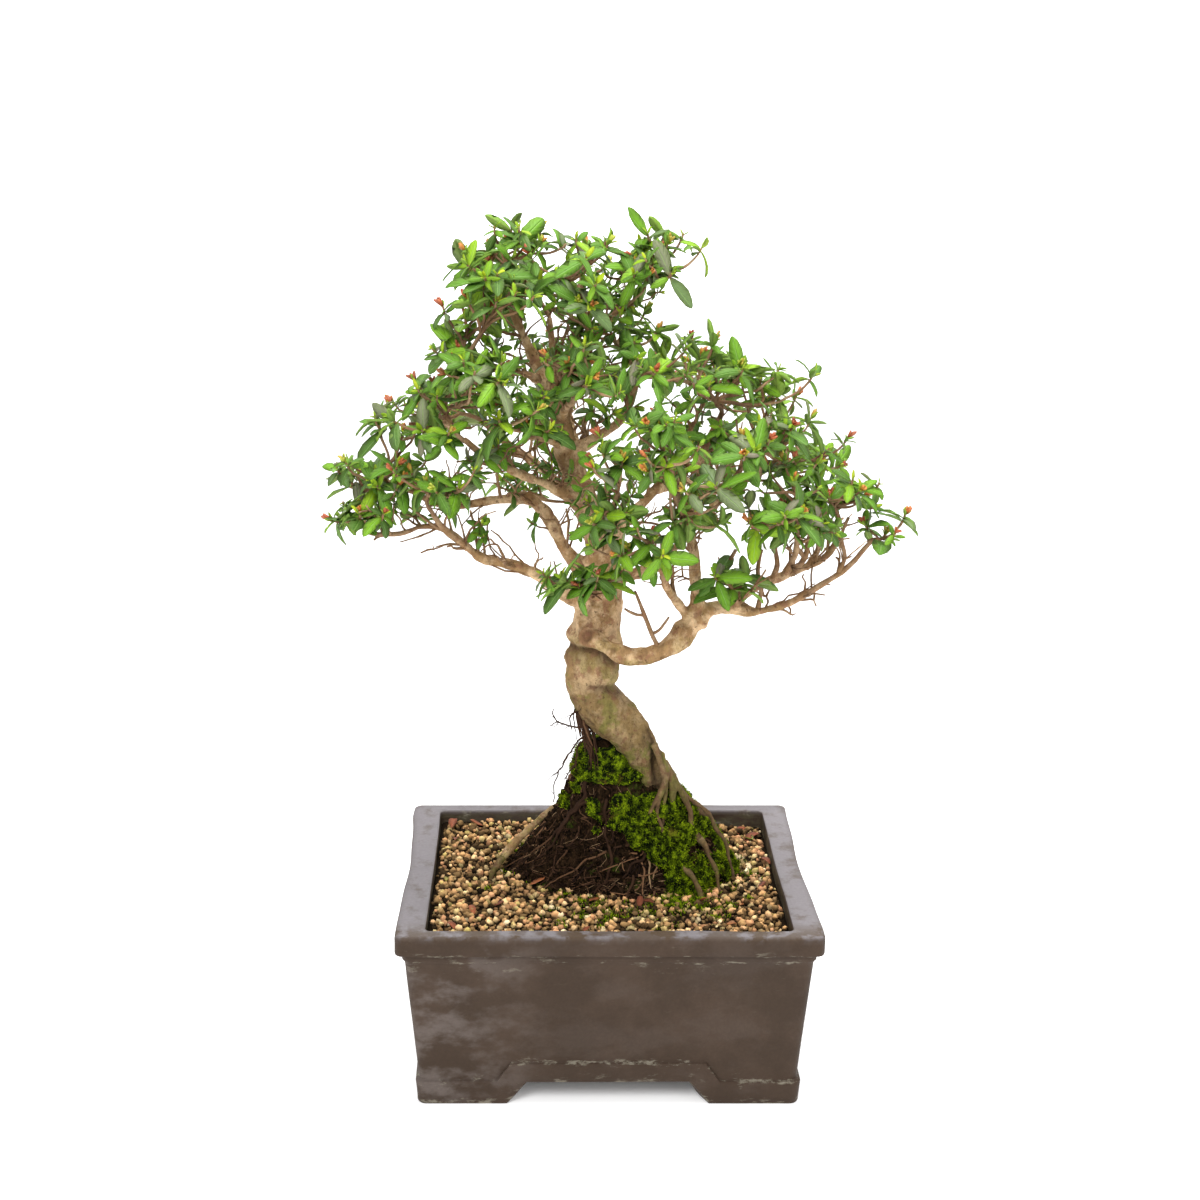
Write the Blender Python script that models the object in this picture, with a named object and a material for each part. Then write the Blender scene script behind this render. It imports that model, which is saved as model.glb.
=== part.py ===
"""A satsuki azalea bonsai with its rectangular clay pot.

Metres, +Z up. The origin is the bottom centre of the bounding box of the whole.
Sizes and routes are written in millimetres from the bottom centre of the pot,
+X to the right and +Y to the back, and MM turns them into metres.
"""

import math
import random

import bmesh
import bpy
from mathutils import Matrix, Vector, noise
from mathutils.bvhtree import BVHTree

MM = 0.001
GAP = 0.3  # left between two solids that touch

# Pot, as (width, depth) where two sizes are given
RIM = (220.0, 169.0)
RIM_RADIUS = 7.0
RIM_WIDTH = (15.0, 9.0)  # of the flat top, at the sides and at the front and back
RIM_EDGE = 1.2
HEIGHT = 102.0
LIP = 10.7
BAND = (4.2, 1.2)  # height and relief of the shallow band under the lip
WALL_TOP = (211.0, 160.6)
WALL_BASE = (198.3, 148.0)
WALL_THICKNESS = 9.0
FLOOR = (13.6, 21.0)  # underside and top of the pot's floor
SKIRT_RELIEF = 1.5
SKIRT_TOP = 15.0
SKIRT_RAISED_TOP = 24.0
RAISED_HALF = (56.0, 48.5)  # half widths of the raised skirt, low and high
SIDE_RAISED_HALF = (39.0, 31.5)
ARCH_HALF = (53.0, 42.0)  # half widths of the arch between the feet, low and high
SIDE_ARCH_HALF = (36.0, 25.0)
ARCH_TOP = 12.8
DRAIN_RADIUS = 9.0
DRAIN_SIDES = 16
DRAIN_X = 45.0
CORNER_STEPS = 3
LIP_SLOPE = 0.6  # height of the slope under the lip
SKIRT_FEATHER = 0.1  # relief left where the skirt's top meets the wall
UNDER_TAPER = 4.0  # how much narrower the hollow under the floor is at its top
UNDER_RADIUS = 4.0
PAST = 1.0  # how far a cutter runs past what it cuts

# Drain screens
SCREEN_SIZE = 32.0
SCREEN_THICKNESS = 1.4
SCREEN_HOLES = 2
SCREEN_HOLE = 8.0
SCREEN_PITCHES = 2.5  # spaces between holes in the screen's width

# Soil
SOIL_TOP = 95.0
SOIL_TILT = -0.018  # rise of the soil for each millimetre to the right
SOIL_CELLS = (19, 15)
GRAIN_RELIEF = 1.7
GRAIN_SHIFT = 1.0  # of a bump off its place in the grid

# Root mound, as levels of (z, centre x, centre y, half width, half depth)
MOUND_LEVELS = (
    (66, 4, 12, 44, 30),
    (85, 5, 13, 59, 35),
    (97, 6, 13, 65, 37),
    (109, 6, 11, 58, 32),
    (121, 8, 10, 51, 27),
    (134, 8, 9, 40, 23),
    (148, 7, 7, 29, 18),
    (162, 4, 6, 20, 14),
    (172, 0, 5, 11, 9),
    (177, -2, 4, 4, 3),
)
MOUND_SIDES = 16
MOUND_RELIEF = 5.5
MOUND_LUMP = 23.0  # levels narrower than this carry less relief
MOUND_WAVES = 2.6
SEAT = GAP + 0.15  # gap across a slope, a little more than the one square to it

# Moss: a skin on the mound inside this region, whose left edge leans to the left
MOSS_THICKNESS = 3.6
MOSS_RELIEF = 1.5
MOSS_WAVES = 5.0
MOSS_REGION = (
    ((90, 70, 98), (26, 70, 98), (14, 12, 98), (20, -50, 98), (90, -50, 98)),
    ((90, 70, 150), (2, 70, 150), (-4, 12, 150), (-2, -50, 150), (90, -50, 150)),
    ((90, 70, 190), (-16, 70, 190), (-16, 12, 190), (-16, -50, 190), (90, -50, 190)),
)

# Woody routes, as (x, y, z, radius) points
TRUNK = (
    (22, 7, 92, 14),
    (25, 7, 112, 13),
    (27, 5, 131, 11.5),
    (27, 2, 147, 9.5),
    (23, 0, 164, 10),
    (14, -2, 185, 12.2),
    (2, -2, 201, 13),
    (-9, -1, 216, 13.4),
    (-12, 0, 228, 14.2),
    (-9, 0, 242, 13.6),
    (-4, 2, 257, 12),
    (-3, 4, 277, 10),
    (-9, 5, 299, 9),
    (-17, 6, 320, 8),
    (-24, 6, 341, 6.6),
    (-26, 6, 356, 5.4),
)
ROOTS = {
    "left": (
        (18, 7, 146, 5.5), (2, 10, 143, 4), (-16, 14, 136, 3.2), (-31, 19, 127, 2.8),
        (-43, 14, 117, 2.6), (-53, 7, 109, 2.5), (-60, 2, 103, 2.3), (-63, -1, 97, 2),
        (-63, -4, 90, 1.6),
    ),
    "front": (
        (27, 1, 160, 5), (30, -7, 156, 3.2), (26, -12, 147, 2.8), (23, -14, 140, 2.5),
        (26, -16, 131, 2.3), (31, -18, 123, 2.2), (37, -18, 116, 2.1), (44, -20, 109, 2),
        (49, -23, 102, 1.8), (53, -26, 91, 1.5),
    ),
    "right_front": (
        (28, 1, 152, 5.5), (37, -3, 151, 3.2), (43, -3, 144, 2.8), (45, -4, 135, 2.5),
        (49, -6, 128, 2.3), (53, -8, 120, 2.2), (57, -10, 111, 2), (61, -13, 102, 1.8),
        (63, -16, 91, 1.5),
    ),
    "right": (
        (28, 4, 146, 5), (40, 8, 143, 3.4), (50, 9, 133, 2.8), (58, 12, 122, 2.5),
        (65, 16, 111, 2.2), (71, 19, 100, 1.9), (75, 21, 90, 1.5),
    ),
    "back_left": (
        (18, 9, 148, 6), (6, 22, 143, 4), (-7, 30, 131, 3.2), (-17, 38, 118, 2.7),
        (-26, 45, 106, 2.3), (-32, 51, 96, 2), (-35, 54, 88, 1.6),
    ),
    "back_right": (
        (29, 7, 146, 6), (36, 21, 139, 4), (42, 31, 126, 3), (49, 38, 114, 2.5),
        (56, 44, 103, 2.2), (61, 49, 90, 1.6),
    ),
}
LIMBS = {
    "left_leader": ((-25, 6, 350, 5), (-32, 4, 370, 3.8), (-41, 1, 389, 3), (-47, -2, 403, 2.2),
                    (-51, -4, 413, 1.5)),
    "right_leader": ((-26, 6, 350, 4.6), (-17, 8, 370, 3.4), (-11, 8, 388, 2.6), (-11, 3, 402, 2),
                     (-14, -2, 411, 1.5)),
    "right_leader_twig": ((-11, 8, 386, 2.6), (-6, 9, 398, 1.8), (4, 9, 407, 1.6),
                          (14, 8, 414, 1.3)),
    "upper_left": ((-32, 4, 368, 3.4), (-40, -6, 377, 2.4), (-52, -16, 382, 1.9),
                   (-62, -24, 386, 1.5)),
    "left_upper": ((-7, 5, 266, 7), (-20, 8, 278, 4.6), (-30, 8, 296, 4), (-41, 6, 309, 3.7),
                   (-58, 0, 310, 3.2), (-76, -4, 309, 2.6), (-90, -6, 311, 2.1), (-101, -8, 317, 1.6)),
    "left_middle": ((-13, 5, 308, 6), (-30, -6, 320, 3.4), (-48, -18, 330, 2.6),
                    (-64, -26, 340, 2), (-74, -30, 349, 1.5)),
    "left_lower": ((-6, 0, 256, 7), (-24, -6, 263, 4.6), (-36, -10, 272, 4), (-47, -12, 278, 3.6),
                   (-62, -12, 282, 3), (-75, -12, 290, 2.4), (-85, -16, 300, 1.9), (-90, -22, 309, 1.5)),
    "left_tip": ((-72, -12, 288, 2.4), (-83, -11, 297, 2), (-98, -11, 299, 1.7), (-110, -13, 296, 1.5),
                 (-120, -17, 297, 1.3)),
    "front_upper": ((-24, 5, 338, 5), (-30, -10, 345, 2.8), (-36, -26, 349, 2), (-41, -38, 353, 1.5)),
    "front_top": ((-26, 5, 352, 4.6), (-22, -10, 361, 2.6), (-19, -25, 368, 2), (-18, -38, 375, 1.5)),
    "right_upper": ((-22, 6, 334, 5.6), (-8, 7, 342, 3.6), (3, 8, 349, 3), (10, 6, 360, 2.2),
                    (13, 2, 372, 1.5)),
    "right_main": ((-10, -4, 239, 7.5), (-3, -15, 237, 5.6), (12, -20, 232, 5.2), (26, -20, 234, 5.3),
                   (36, -18, 240, 6), (44, -16, 249, 6.3), (51, -14, 255, 5), (60, -12, 256, 4.4),
                   (70, -10, 254, 4.2), (78, -10, 253, 2.8), (95, -8, 258, 2.4), (112, -6, 267, 2.1),
                   (125, -4, 276, 1.9), (132, -3, 285, 1.6), (136, -2, 289, 1.3)),
    "right_inner": ((64, -11, 256, 3.4), (72, -4, 260, 2.9), (82, 0, 266, 2.8), (95, 2, 270, 2.7),
                    (108, 3, 275, 2.4), (117, 4, 282, 2), (120, 4, 291, 1.7), (120, 2, 299, 1.4)),
    "right_upright": ((92, 1, 269, 2.6), (95, -8, 280, 2), (96, -18, 291, 1.8), (95, -27, 301, 1.4)),
    "right_rise": ((44, -16, 248, 5), (46, -16, 260, 3.9), (45, -14, 273, 3.6), (43, -12, 288, 3.4),
                   (41, -10, 305, 3.1), (43, -8, 322, 2.7), (49, -6, 340, 2.2), (55, -6, 354, 1.6)),
    "right_rise_front": ((41, -10, 304, 3), (36, -23, 314, 2.1), (32, -35, 324, 1.8), (30, -45, 333, 1.4)),
    "right_rise_side": ((43, -9, 318, 2.6), (54, -19, 322, 2.1), (64, -28, 326, 1.8), (72, -34, 331, 1.4)),
    "right_back": ((0, 4, 268, 6), (14, 8, 268, 3.6), (28, 10, 274, 3), (42, 20, 286, 2.6),
                   (56, 32, 298, 2.2), (68, 42, 310, 1.6)),
    "middle_front": ((44, -16, 250, 4.6), (36, -20, 260, 3.2), (30, -28, 272, 2.4),
                     (24, -36, 284, 1.5)),
    "trunk_front": ((-5, 3, 286, 7), (-3, -10, 294, 2.8), (0, -24, 304, 2.1), (1, -36, 314, 1.5)),
    "trunk_low": ((-4, 0, 262, 8), (-9, -14, 264, 2.4), (-13, -22, 267, 1.5)),
    "knob_shoot": ((66, -11, 256, 3.6), (66, -18, 260, 1.7), (64, -22, 264, 1.3)),
    "back_left_limb": ((-10, 6, 300, 6.5), (-21, 24, 309, 3.8), (-37, 42, 319, 3), (-54, 52, 330, 2.4),
                       (-68, 56, 341, 1.6)),
    "back_middle": ((-20, 7, 328, 6), (-18, 26, 334, 3.2), (-19, 46, 341, 2.5), (-22, 64, 350, 1.6)),
    "back_top": ((-26, 7, 350, 4.4), (-28, 20, 368, 3), (-30, 28, 386, 2.4), (-31, 32, 400, 1.6)),
    "back_right_limb": ((-4, 5, 284, 7), (10, 24, 293, 4), (26, 42, 305, 3.2), (40, 52, 322, 2.5),
                        (48, 54, 340, 1.6)),
    "back_low": ((4, 18, 290, 3.6), (-4, 34, 284, 2.4), (-10, 50, 284, 1.5)),
    "back_right_low": ((26, 42, 305, 3), (40, 60, 304, 2.4), (54, 72, 306, 1.6)),
}

# Whorls of leaves at the twigs' tips, as (x, y, z), by the limb whose end carries them
WHORLS = {
    "left_leader": ((-52, 0, 443), (-36, -15, 444), (-61, -30, 431), (-73, 15, 430)),
    "right_leader": ((-13, 5, 440), (-27, -35, 432), (-17, -42, 419)),
    "right_leader_twig": ((12, 0, 431), (24, 16, 437), (30, -10, 429)),
    "upper_left": ((-75, -40, 396), (-56, -45, 420), (-72, -26, 409), (-66, -62, 389)),
    "left_upper": ((-119, -20, 329), (-136, 5, 319), (-112, 24, 322), (-105, -12, 349)),
    "left_middle": ((-88, -25, 375), (-64, -60, 379), (-93, -48, 358)),
    "left_lower": ((-92, -40, 329), (-75, -55, 331)),
    "left_tip": ((-126, -34, 312),),
    "front_upper": ((-42, -50, 361), (-38, -42, 374), (-55, -62, 366)),
    "front_top": ((-22, -50, 390), (-13, -62, 383)),
    "right_upper": ((8, -10, 393), (20, -44, 386), (0, 20, 397)),
    "right_main": ((144, -2, 293),),
    "right_inner": ((112, -14, 316), (126, 6, 311)),
    "right_upright": ((90, -45, 332), (80, -60, 315)),
    "right_rise": ((47, -35, 378), (37, -8, 384), (68, 0, 377), (88, 10, 365)),
    "right_rise_front": ((22, -65, 364), (24, -76, 347), (40, -48, 314)),
    "right_rise_side": ((63, -52, 355), (48, -72, 336), (84, -20, 350), (103, 4, 337)),
    "right_back": ((86, 44, 354), (112, 42, 325), (98, 72, 316)),
    "middle_front": ((8, -55, 300), (20, -60, 306)),
    "trunk_front": ((4, -58, 345), (-6, -56, 318)),
    "trunk_low": ((-4, -32, 277), (-24, -35, 279)),
    "knob_shoot": ((62, -26, 273),),
    "back_left_limb": ((-98, 30, 353), (-72, 64, 362), (-84, 82, 338)),
    "back_middle": ((-28, 84, 371), (0, 90, 352), (-46, 96, 342)),
    "back_top": ((-46, 40, 420), (-12, 46, 424), (-66, 34, 405), (14, 40, 408)),
    "back_right_limb": ((52, 44, 376), (34, 70, 366), (66, 78, 347)),
    "back_low": ((-6, 74, 298), (-44, 78, 298)),
    "back_right_low": ((62, 98, 318), (30, 90, 306)),
}
TRUNK_SIDES = 10
TRUNK_STEPS = 2  # points for each stretch of the trunk's route
ROOT_SIDES = 6
LIMB_SIDES = ((5.0, 8), (2.9, 6), (0.0, 4))  # as (radius above which, sides)
TWIG_RADIUS = 1.0
TWIG_SIDES = 4
TWIG_START = 2.0  # of a spray's stem, in line with its limb
TWIG_BEND = 0.35  # share of a twig's length that each of its ends runs straight
TWIG_RISE = (0.6, 0.8)  # how much a tip follows its twig, and turns up
TWIG_TRIES = 16
TWIG_WANDER = 0.2  # added for each try
LEAVES = 4
LEAF_LENGTH = (16.0, 22.5)
LEAF_SLENDERNESS = 0.40
LEAF_THICKNESS = 1.1
# Stations along a leaf, as (share of its length, share of its half width)
LEAF_OUTLINE = ((0.0, 0.07), (0.36, 0.95), (0.70, 0.80))
LEAF_KEEL = 0.7  # least share of the thickness
LEAF_DROOP = 0.16
LEAF_SPACING = 1.3  # between the roots of a whorl's leaves, along the twig
LEAF_TURN = math.tau * 0.39  # from one leaf of a whorl to the next above it
LEAF_LIFT = (8.0, 48.0)  # degrees from square to the twig
LEAF_WANDER = (0.15, 0.05)  # radians of turn at the first try, and added for each other
LEAF_ROOM = (1.4, 1.2, 1.0)  # length, width and thickness kept free round a leaf
LEAF_TRIES = 14
LEAF_CLEAR_TRIES = 9  # tries that also keep a leaf off the others of its spray
CROWN_X = -8.0
SEED = 11
SHARP_ANGLE = math.radians(35)


def empty_scene():
    """Removes every object of the scene."""
    for thing in list(bpy.data.objects):
        bpy.data.objects.remove(thing, do_unlink=True)


def new_collection(name, hidden=False):
    """A collection in the scene; a hidden one holds cutters."""
    made = bpy.data.collections.new(name)
    made.hide_render = hidden
    bpy.context.scene.collection.children.link(made)
    return made


def finish(name, colour, roughness):
    """A Principled material with a colour and a roughness."""
    made = bpy.data.materials.new(name)
    made.use_nodes = True
    surface = made.node_tree.nodes["Principled BSDF"]
    surface.inputs["Base Color"].default_value = (*colour, 1.0)
    surface.inputs["Roughness"].default_value = roughness
    return made


def as_object(name, mesh, collection):
    """A new object for the mesh in the collection."""
    made = bpy.data.objects.new(name, mesh)
    collection.objects.link(made)
    if collection.hide_render:
        made.hide_render = True
        made.display_type = "WIRE"
    return made


def mesh_of(name, shape):
    """Turns a bmesh into a mesh with its faces pointing out, and frees it."""
    bmesh.ops.recalc_face_normals(shape, faces=shape.faces)
    mesh = bpy.data.meshes.new(name)
    shape.to_mesh(mesh)
    shape.free()
    return mesh


def bake(target):
    """Applies the target's modifiers to its mesh."""
    graph = bpy.context.evaluated_depsgraph_get()
    mesh = bpy.data.meshes.new_from_object(target.evaluated_get(graph))
    target.modifiers.clear()
    target.data = mesh


def cut(target, operation, other, solver="EXACT"):
    """Applies a Boolean between the target and one other object, and removes the other."""
    change = target.modifiers.new(operation.title(), "BOOLEAN")
    change.operation = operation
    change.object = other
    change.solver = solver
    bake(target)
    bpy.data.objects.remove(other, do_unlink=True)


def join(target, others):
    """Joins the target and all the others by one Boolean union, and removes the others."""
    operands = new_collection("operands", hidden=True)
    for other in others:
        operands.objects.link(other)
    change = target.modifiers.new("Union", "BOOLEAN")
    change.operation = "UNION"
    change.operand_type = "COLLECTION"
    change.collection = operands
    change.solver = "MANIFOLD"
    bake(target)
    for other in others:
        bpy.data.objects.remove(other, do_unlink=True)
    bpy.data.collections.remove(operands)
    keep_largest(target)


def keep_largest(target):
    """Drops loose scraps and sealed hollows, which leaves the one body with the most faces."""
    shape = bmesh.new()
    shape.from_mesh(target.data)
    unseen = set(shape.faces)
    bodies = []
    while unseen:
        front = [unseen.pop()]
        body = set(front)
        while front:
            near = {face for edge in front.pop().edges for face in edge.link_faces} & unseen
            unseen -= near
            body |= near
            front.extend(near)
        bodies.append(body)
    bodies.sort(key=len)
    scraps = [face for body in bodies[:-1] for face in body]
    bmesh.ops.delete(shape, geom=scraps, context="FACES")
    shape.to_mesh(target.data)
    shape.free()


def rounded_rectangle(width, depth, radius, z):
    """Points of a rounded rectangle round the pot's axis, anticlockwise from above."""
    points = []
    for corner, (side_x, side_y) in enumerate(((1, 1), (-1, 1), (-1, -1), (1, -1))):
        for step in range(CORNER_STEPS + 1):
            angle = math.pi / 2 * (corner + step / CORNER_STEPS)
            x = side_x * (width / 2 - radius) + radius * math.cos(angle)
            y = side_y * (depth / 2 - radius) + radius * math.sin(angle)
            points.append((x, y, z))
    return points


def loft(name, rings, in_triangles=False):
    """A closed mesh through rings of as many points each, anticlockwise from above, lowest first.

    An uneven loft is built in triangles, so that a grown copy of it has the same creases.
    """
    shape = bmesh.new()
    loops = [[shape.verts.new(Vector(point) * MM) for point in ring] for ring in rings]
    count = len(rings[0])
    for low, high in zip(loops, loops[1:]):
        for here in range(count):
            ahead = (here + 1) % count
            if in_triangles:
                shape.faces.new((low[here], low[ahead], high[ahead]))
                shape.faces.new((low[here], high[ahead], high[here]))
            else:
                shape.faces.new((low[here], low[ahead], high[ahead], high[here]))
    shape.faces.new(loops[0])
    shape.faces.new(loops[-1])
    return mesh_of(name, shape)


def box(name, size, centre):
    """A box of the given size round the centre."""
    shape = bmesh.new()
    bmesh.ops.create_cube(shape, size=MM)
    bmesh.ops.scale(shape, vec=size, verts=shape.verts)
    bmesh.ops.translate(shape, vec=Vector(centre) * MM, verts=shape.verts)
    return mesh_of(name, shape)


def trapezoid_bar(name, halves, heights, along_x):
    """A bar through the pot with a trapezoid section, wide at the bottom, along X or along Y."""
    rings = []
    for half, z in zip(halves, heights):
        corners = ((half, 1), (-half, 1), (-half, -1), (half, -1))
        ring = [(x, side * RIM[0], z) for x, side in corners]
        if along_x:
            ring = [(y, x, z) for x, y, z in reversed(ring)]
        rings.append(ring)
    return loft(name, rings)


def wall_size(z, relief=0.0):
    """Width and depth of the tapered wall at a height, grown by a relief on each side."""
    share = z / (HEIGHT - LIP)
    return tuple(low + (high - low) * share + 2 * relief for low, high in zip(WALL_BASE, WALL_TOP))


def pot_ring(z, relief=0.0, radius=RIM_RADIUS):
    """A ring of the pot's outer wall."""
    return rounded_rectangle(*wall_size(z, relief), radius, z)


def cavity_ring(z, inset=0.0):
    """A ring of the pot's inner wall, or one that lies inside it by the inset."""
    share = (z - FLOOR[1]) / (HEIGHT - FLOOR[1])
    sizes = []
    for rim, rim_width, base in zip(RIM, RIM_WIDTH, wall_size(FLOOR[1])):
        low = base - 2 * WALL_THICKNESS
        high = rim - 2 * rim_width
        sizes.append(low + (high - low) * share - 2 * inset)
    return rounded_rectangle(*sizes, RIM_RADIUS - 1.0 - inset, z)


def make_pot(parts, cutters):
    """The pot: a tapered wall with a lip, a skirt with arches, four feet and two drain holes."""
    lip_z = HEIGHT - LIP
    band_height, band_relief = BAND
    edge_size = [side - 2 * RIM_EDGE for side in RIM]
    outside = [
        pot_ring(0.0, radius=RIM_RADIUS),
        pot_ring(lip_z - band_height - band_relief),
        pot_ring(lip_z - band_height, band_relief),
        pot_ring(lip_z, band_relief),
        rounded_rectangle(*RIM, RIM_RADIUS, lip_z + LIP_SLOPE),
        rounded_rectangle(*RIM, RIM_RADIUS, HEIGHT - RIM_EDGE),
        rounded_rectangle(*edge_size, RIM_RADIUS - RIM_EDGE, HEIGHT),
    ]
    pot = as_object("pot", loft("pot", outside), parts)

    skirt_rings = [
        pot_ring(0.0, SKIRT_RELIEF),
        pot_ring(SKIRT_TOP - SKIRT_RELIEF, SKIRT_RELIEF),
        pot_ring(SKIRT_TOP, SKIRT_FEATHER),
    ]
    skirt = as_object("skirt", loft("skirt", skirt_rings), cutters)
    raised_rings = [
        pot_ring(SKIRT_TOP / 2, SKIRT_RELIEF),
        pot_ring(SKIRT_RAISED_TOP - SKIRT_RELIEF, SKIRT_RELIEF),
        pot_ring(SKIRT_RAISED_TOP, SKIRT_FEATHER),
    ]
    raised = as_object("raised", loft("raised", raised_rings), cutters)
    raised_heights = (SKIRT_TOP - PAST, SKIRT_RAISED_TOP + PAST)
    front_bar = trapezoid_bar("front_bar", RAISED_HALF, raised_heights, False)
    side_bar = trapezoid_bar("side_bar", SIDE_RAISED_HALF, raised_heights, True)
    cross = as_object("cross", front_bar, cutters)
    cut(cross, "UNION", as_object("side_bar", side_bar, cutters))
    cut(raised, "INTERSECT", cross)
    cut(pot, "UNION", skirt)
    cut(pot, "UNION", raised)

    cavity = loft("cavity", [cavity_ring(FLOOR[1]), cavity_ring(HEIGHT + PAST)])
    under_size = [side - 2 * WALL_THICKNESS for side in WALL_BASE]
    under_rings = [
        rounded_rectangle(*under_size, UNDER_RADIUS, -PAST),
        rounded_rectangle(*[side - UNDER_TAPER for side in under_size], UNDER_RADIUS, FLOOR[0]),
    ]
    arch_heights = (0.0, ARCH_TOP)
    holes = [
        cavity,
        loft("under", under_rings),
        trapezoid_bar("arch", ARCH_HALF, arch_heights, False),
        trapezoid_bar("side_arch", SIDE_ARCH_HALF, arch_heights, True),
    ]
    for mesh in holes:
        if mesh.name.endswith("arch"):
            lower_edge(mesh)
        cut(pot, "DIFFERENCE", as_object("hole", mesh, cutters))
    for side in (-1, 1):
        cut(pot, "DIFFERENCE", drain_cutter(side, cutters))
    return pot


def lower_edge(mesh):
    """Moves the lowest points of a cutter below the ground, so that it cuts through."""
    for point in mesh.vertices:
        if point.co.z < MM:
            point.co.z = -PAST * MM


def drain_cutter(side, cutters):
    """A cylinder through the floor at one drain hole."""
    shape = bmesh.new()
    radius = DRAIN_RADIUS * MM
    bmesh.ops.create_cone(
        shape, cap_ends=True, segments=DRAIN_SIDES, radius1=radius, radius2=radius, depth=HEIGHT * MM / 4
    )
    centre = (side * DRAIN_X, 0.0, sum(FLOOR) / 2)
    bmesh.ops.translate(shape, vec=Vector(centre) * MM, verts=shape.verts)
    return as_object("drain", mesh_of("drain", shape), cutters)


def make_screen(name, side, parts, cutters):
    """A plastic drain screen over one hole of the pot's floor."""
    centre_z = FLOOR[1] + GAP + SCREEN_THICKNESS / 2
    centre = (side * DRAIN_X, 0.0, centre_z)
    screen = as_object(name, box(name, (SCREEN_SIZE, SCREEN_SIZE, SCREEN_THICKNESS), centre), parts)
    pitch = SCREEN_SIZE / SCREEN_PITCHES
    places = [pitch * (step - (SCREEN_HOLES - 1) / 2) for step in range(SCREEN_HOLES)]
    for x in places:
        for y in places:
            place = (centre[0] + x, y, centre_z)
            hole = box("hole", (SCREEN_HOLE, SCREEN_HOLE, 3 * SCREEN_THICKNESS), place)
            cut(screen, "DIFFERENCE", as_object("hole", hole, cutters))
    return screen


def relief_block(cutters):
    """The space above the soil: a block whose underside has a bump or dip for each granule."""
    cells_x, cells_y = SOIL_CELLS
    shape = bmesh.new()
    bmesh.ops.create_grid(shape, x_segments=cells_x, y_segments=cells_y, size=0.5)
    draws = random.Random(SEED)
    for point in shape.verts:
        x = point.co.x * (RIM[0] - RIM_WIDTH[0]) + draws.uniform(-GRAIN_SHIFT, GRAIN_SHIFT)
        y = point.co.y * (RIM[1] - RIM_WIDTH[1]) + draws.uniform(-GRAIN_SHIFT, GRAIN_SHIFT)
        z = SOIL_TOP + SOIL_TILT * x + draws.uniform(-GRAIN_RELIEF, GRAIN_RELIEF)
        point.co = Vector((x, y, z)) * MM
    top = bmesh.ops.extrude_face_region(shape, geom=shape.faces[:])
    for item in top["geom"]:
        if isinstance(item, bmesh.types.BMVert):
            item.co.z = (HEIGHT + LIP) * MM
    bmesh.ops.triangulate(shape, faces=shape.faces)
    return as_object("above_soil", mesh_of("above_soil", shape), cutters)


def mound_mesh(name, grow, tufts=0.0):
    """The root mound with its relief, grown outwards, with tufts of up to a height on it."""
    rings = []
    last = len(MOUND_LEVELS) - 1
    for level, (z, centre_x, centre_y, half_x, half_y) in enumerate(MOUND_LEVELS):
        height = z + grow * (level / last if level else -1)
        ring = []
        for step in range(MOUND_SIDES):
            angle = math.tau * step / MOUND_SIDES
            place = Vector((math.cos(angle), math.sin(angle), z / MOUND_LUMP))
            relief = MOUND_RELIEF * min(1.0, half_x / MOUND_LUMP)
            out = grow + relief * noise.noise(MOUND_WAVES * place)
            out += tufts * noise.noise(MOSS_WAVES * place)
            x = centre_x + (half_x + out) * math.cos(angle)
            y = centre_y + (half_y + out) * math.sin(angle)
            ring.append((x, y, height))
        rings.append(ring)
    return loft(name, rings, in_triangles=True)


def make_mound(parts, cutters, tree_space):
    """The mound of earth and fine roots, with plain holes where the trunk and roots pass."""
    mound = as_object("root_mound", mound_mesh("root_mound", 0.0), parts)
    cut(mound, "DIFFERENCE", tree_space, "MANIFOLD")
    keep_largest(mound)
    return mound


def make_moss(parts, cutters, tree_space):
    """The moss: a lumpy skin over the top and the right of the mound."""
    skin = mound_mesh("moss", MOSS_THICKNESS, MOSS_RELIEF)
    moss = as_object("moss", skin, parts)
    covered = as_object("covered", loft("covered", MOSS_REGION), cutters)
    under = as_object("under_moss", mound_mesh("under_moss", SEAT), cutters)
    cut(moss, "INTERSECT", covered, "MANIFOLD")
    cut(moss, "DIFFERENCE", under, "MANIFOLD")
    cut(moss, "DIFFERENCE", tree_space, "MANIFOLD")
    keep_largest(moss)
    return moss


def make_soil(parts, cutters, tree_space):
    """The bed of potting granules between the pot's wall and the root mound."""
    rings = [cavity_ring(FLOOR[1] + GAP, GAP), cavity_ring(HEIGHT, GAP)]
    soil = as_object("soil", loft("soil", rings), parts)
    cut(soil, "DIFFERENCE", relief_block(cutters), "MANIFOLD")
    mound_space = as_object("mound_space", mound_mesh("mound_space", SEAT), cutters)
    cut(soil, "DIFFERENCE", mound_space, "MANIFOLD")
    cut(soil, "DIFFERENCE", tree_space, "MANIFOLD")
    for side in (-1, 1):
        size = SCREEN_SIZE + 2 * GAP
        centre = (side * DRAIN_X, 0.0, FLOOR[1])
        recess = box("recess", (size, size, 2 * (SCREEN_THICKNESS + 2 * GAP)), centre)
        cut(soil, "DIFFERENCE", as_object("recess", recess, cutters), "MANIFOLD")
    keep_largest(soil)
    return soil


def smoothed(route, steps):
    """The route with more points, on a Catmull-Rom curve through the given ones."""
    points = [Vector(point) for point in route]
    points = [2 * points[0] - points[1], *points, 2 * points[-1] - points[-2]]
    fine = []
    for before, here, ahead, beyond in zip(points, points[1:], points[2:], points[3:]):
        for step in range(steps):
            t = step / steps
            bend = (2 * here) + (ahead - before) * t
            bend += (2 * before - 5 * here + 4 * ahead - beyond) * t * t
            bend += (3 * here - before - 3 * ahead + beyond) * t * t * t
            fine.append(bend / 2)
    fine.append(points[-2])
    return fine


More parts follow.
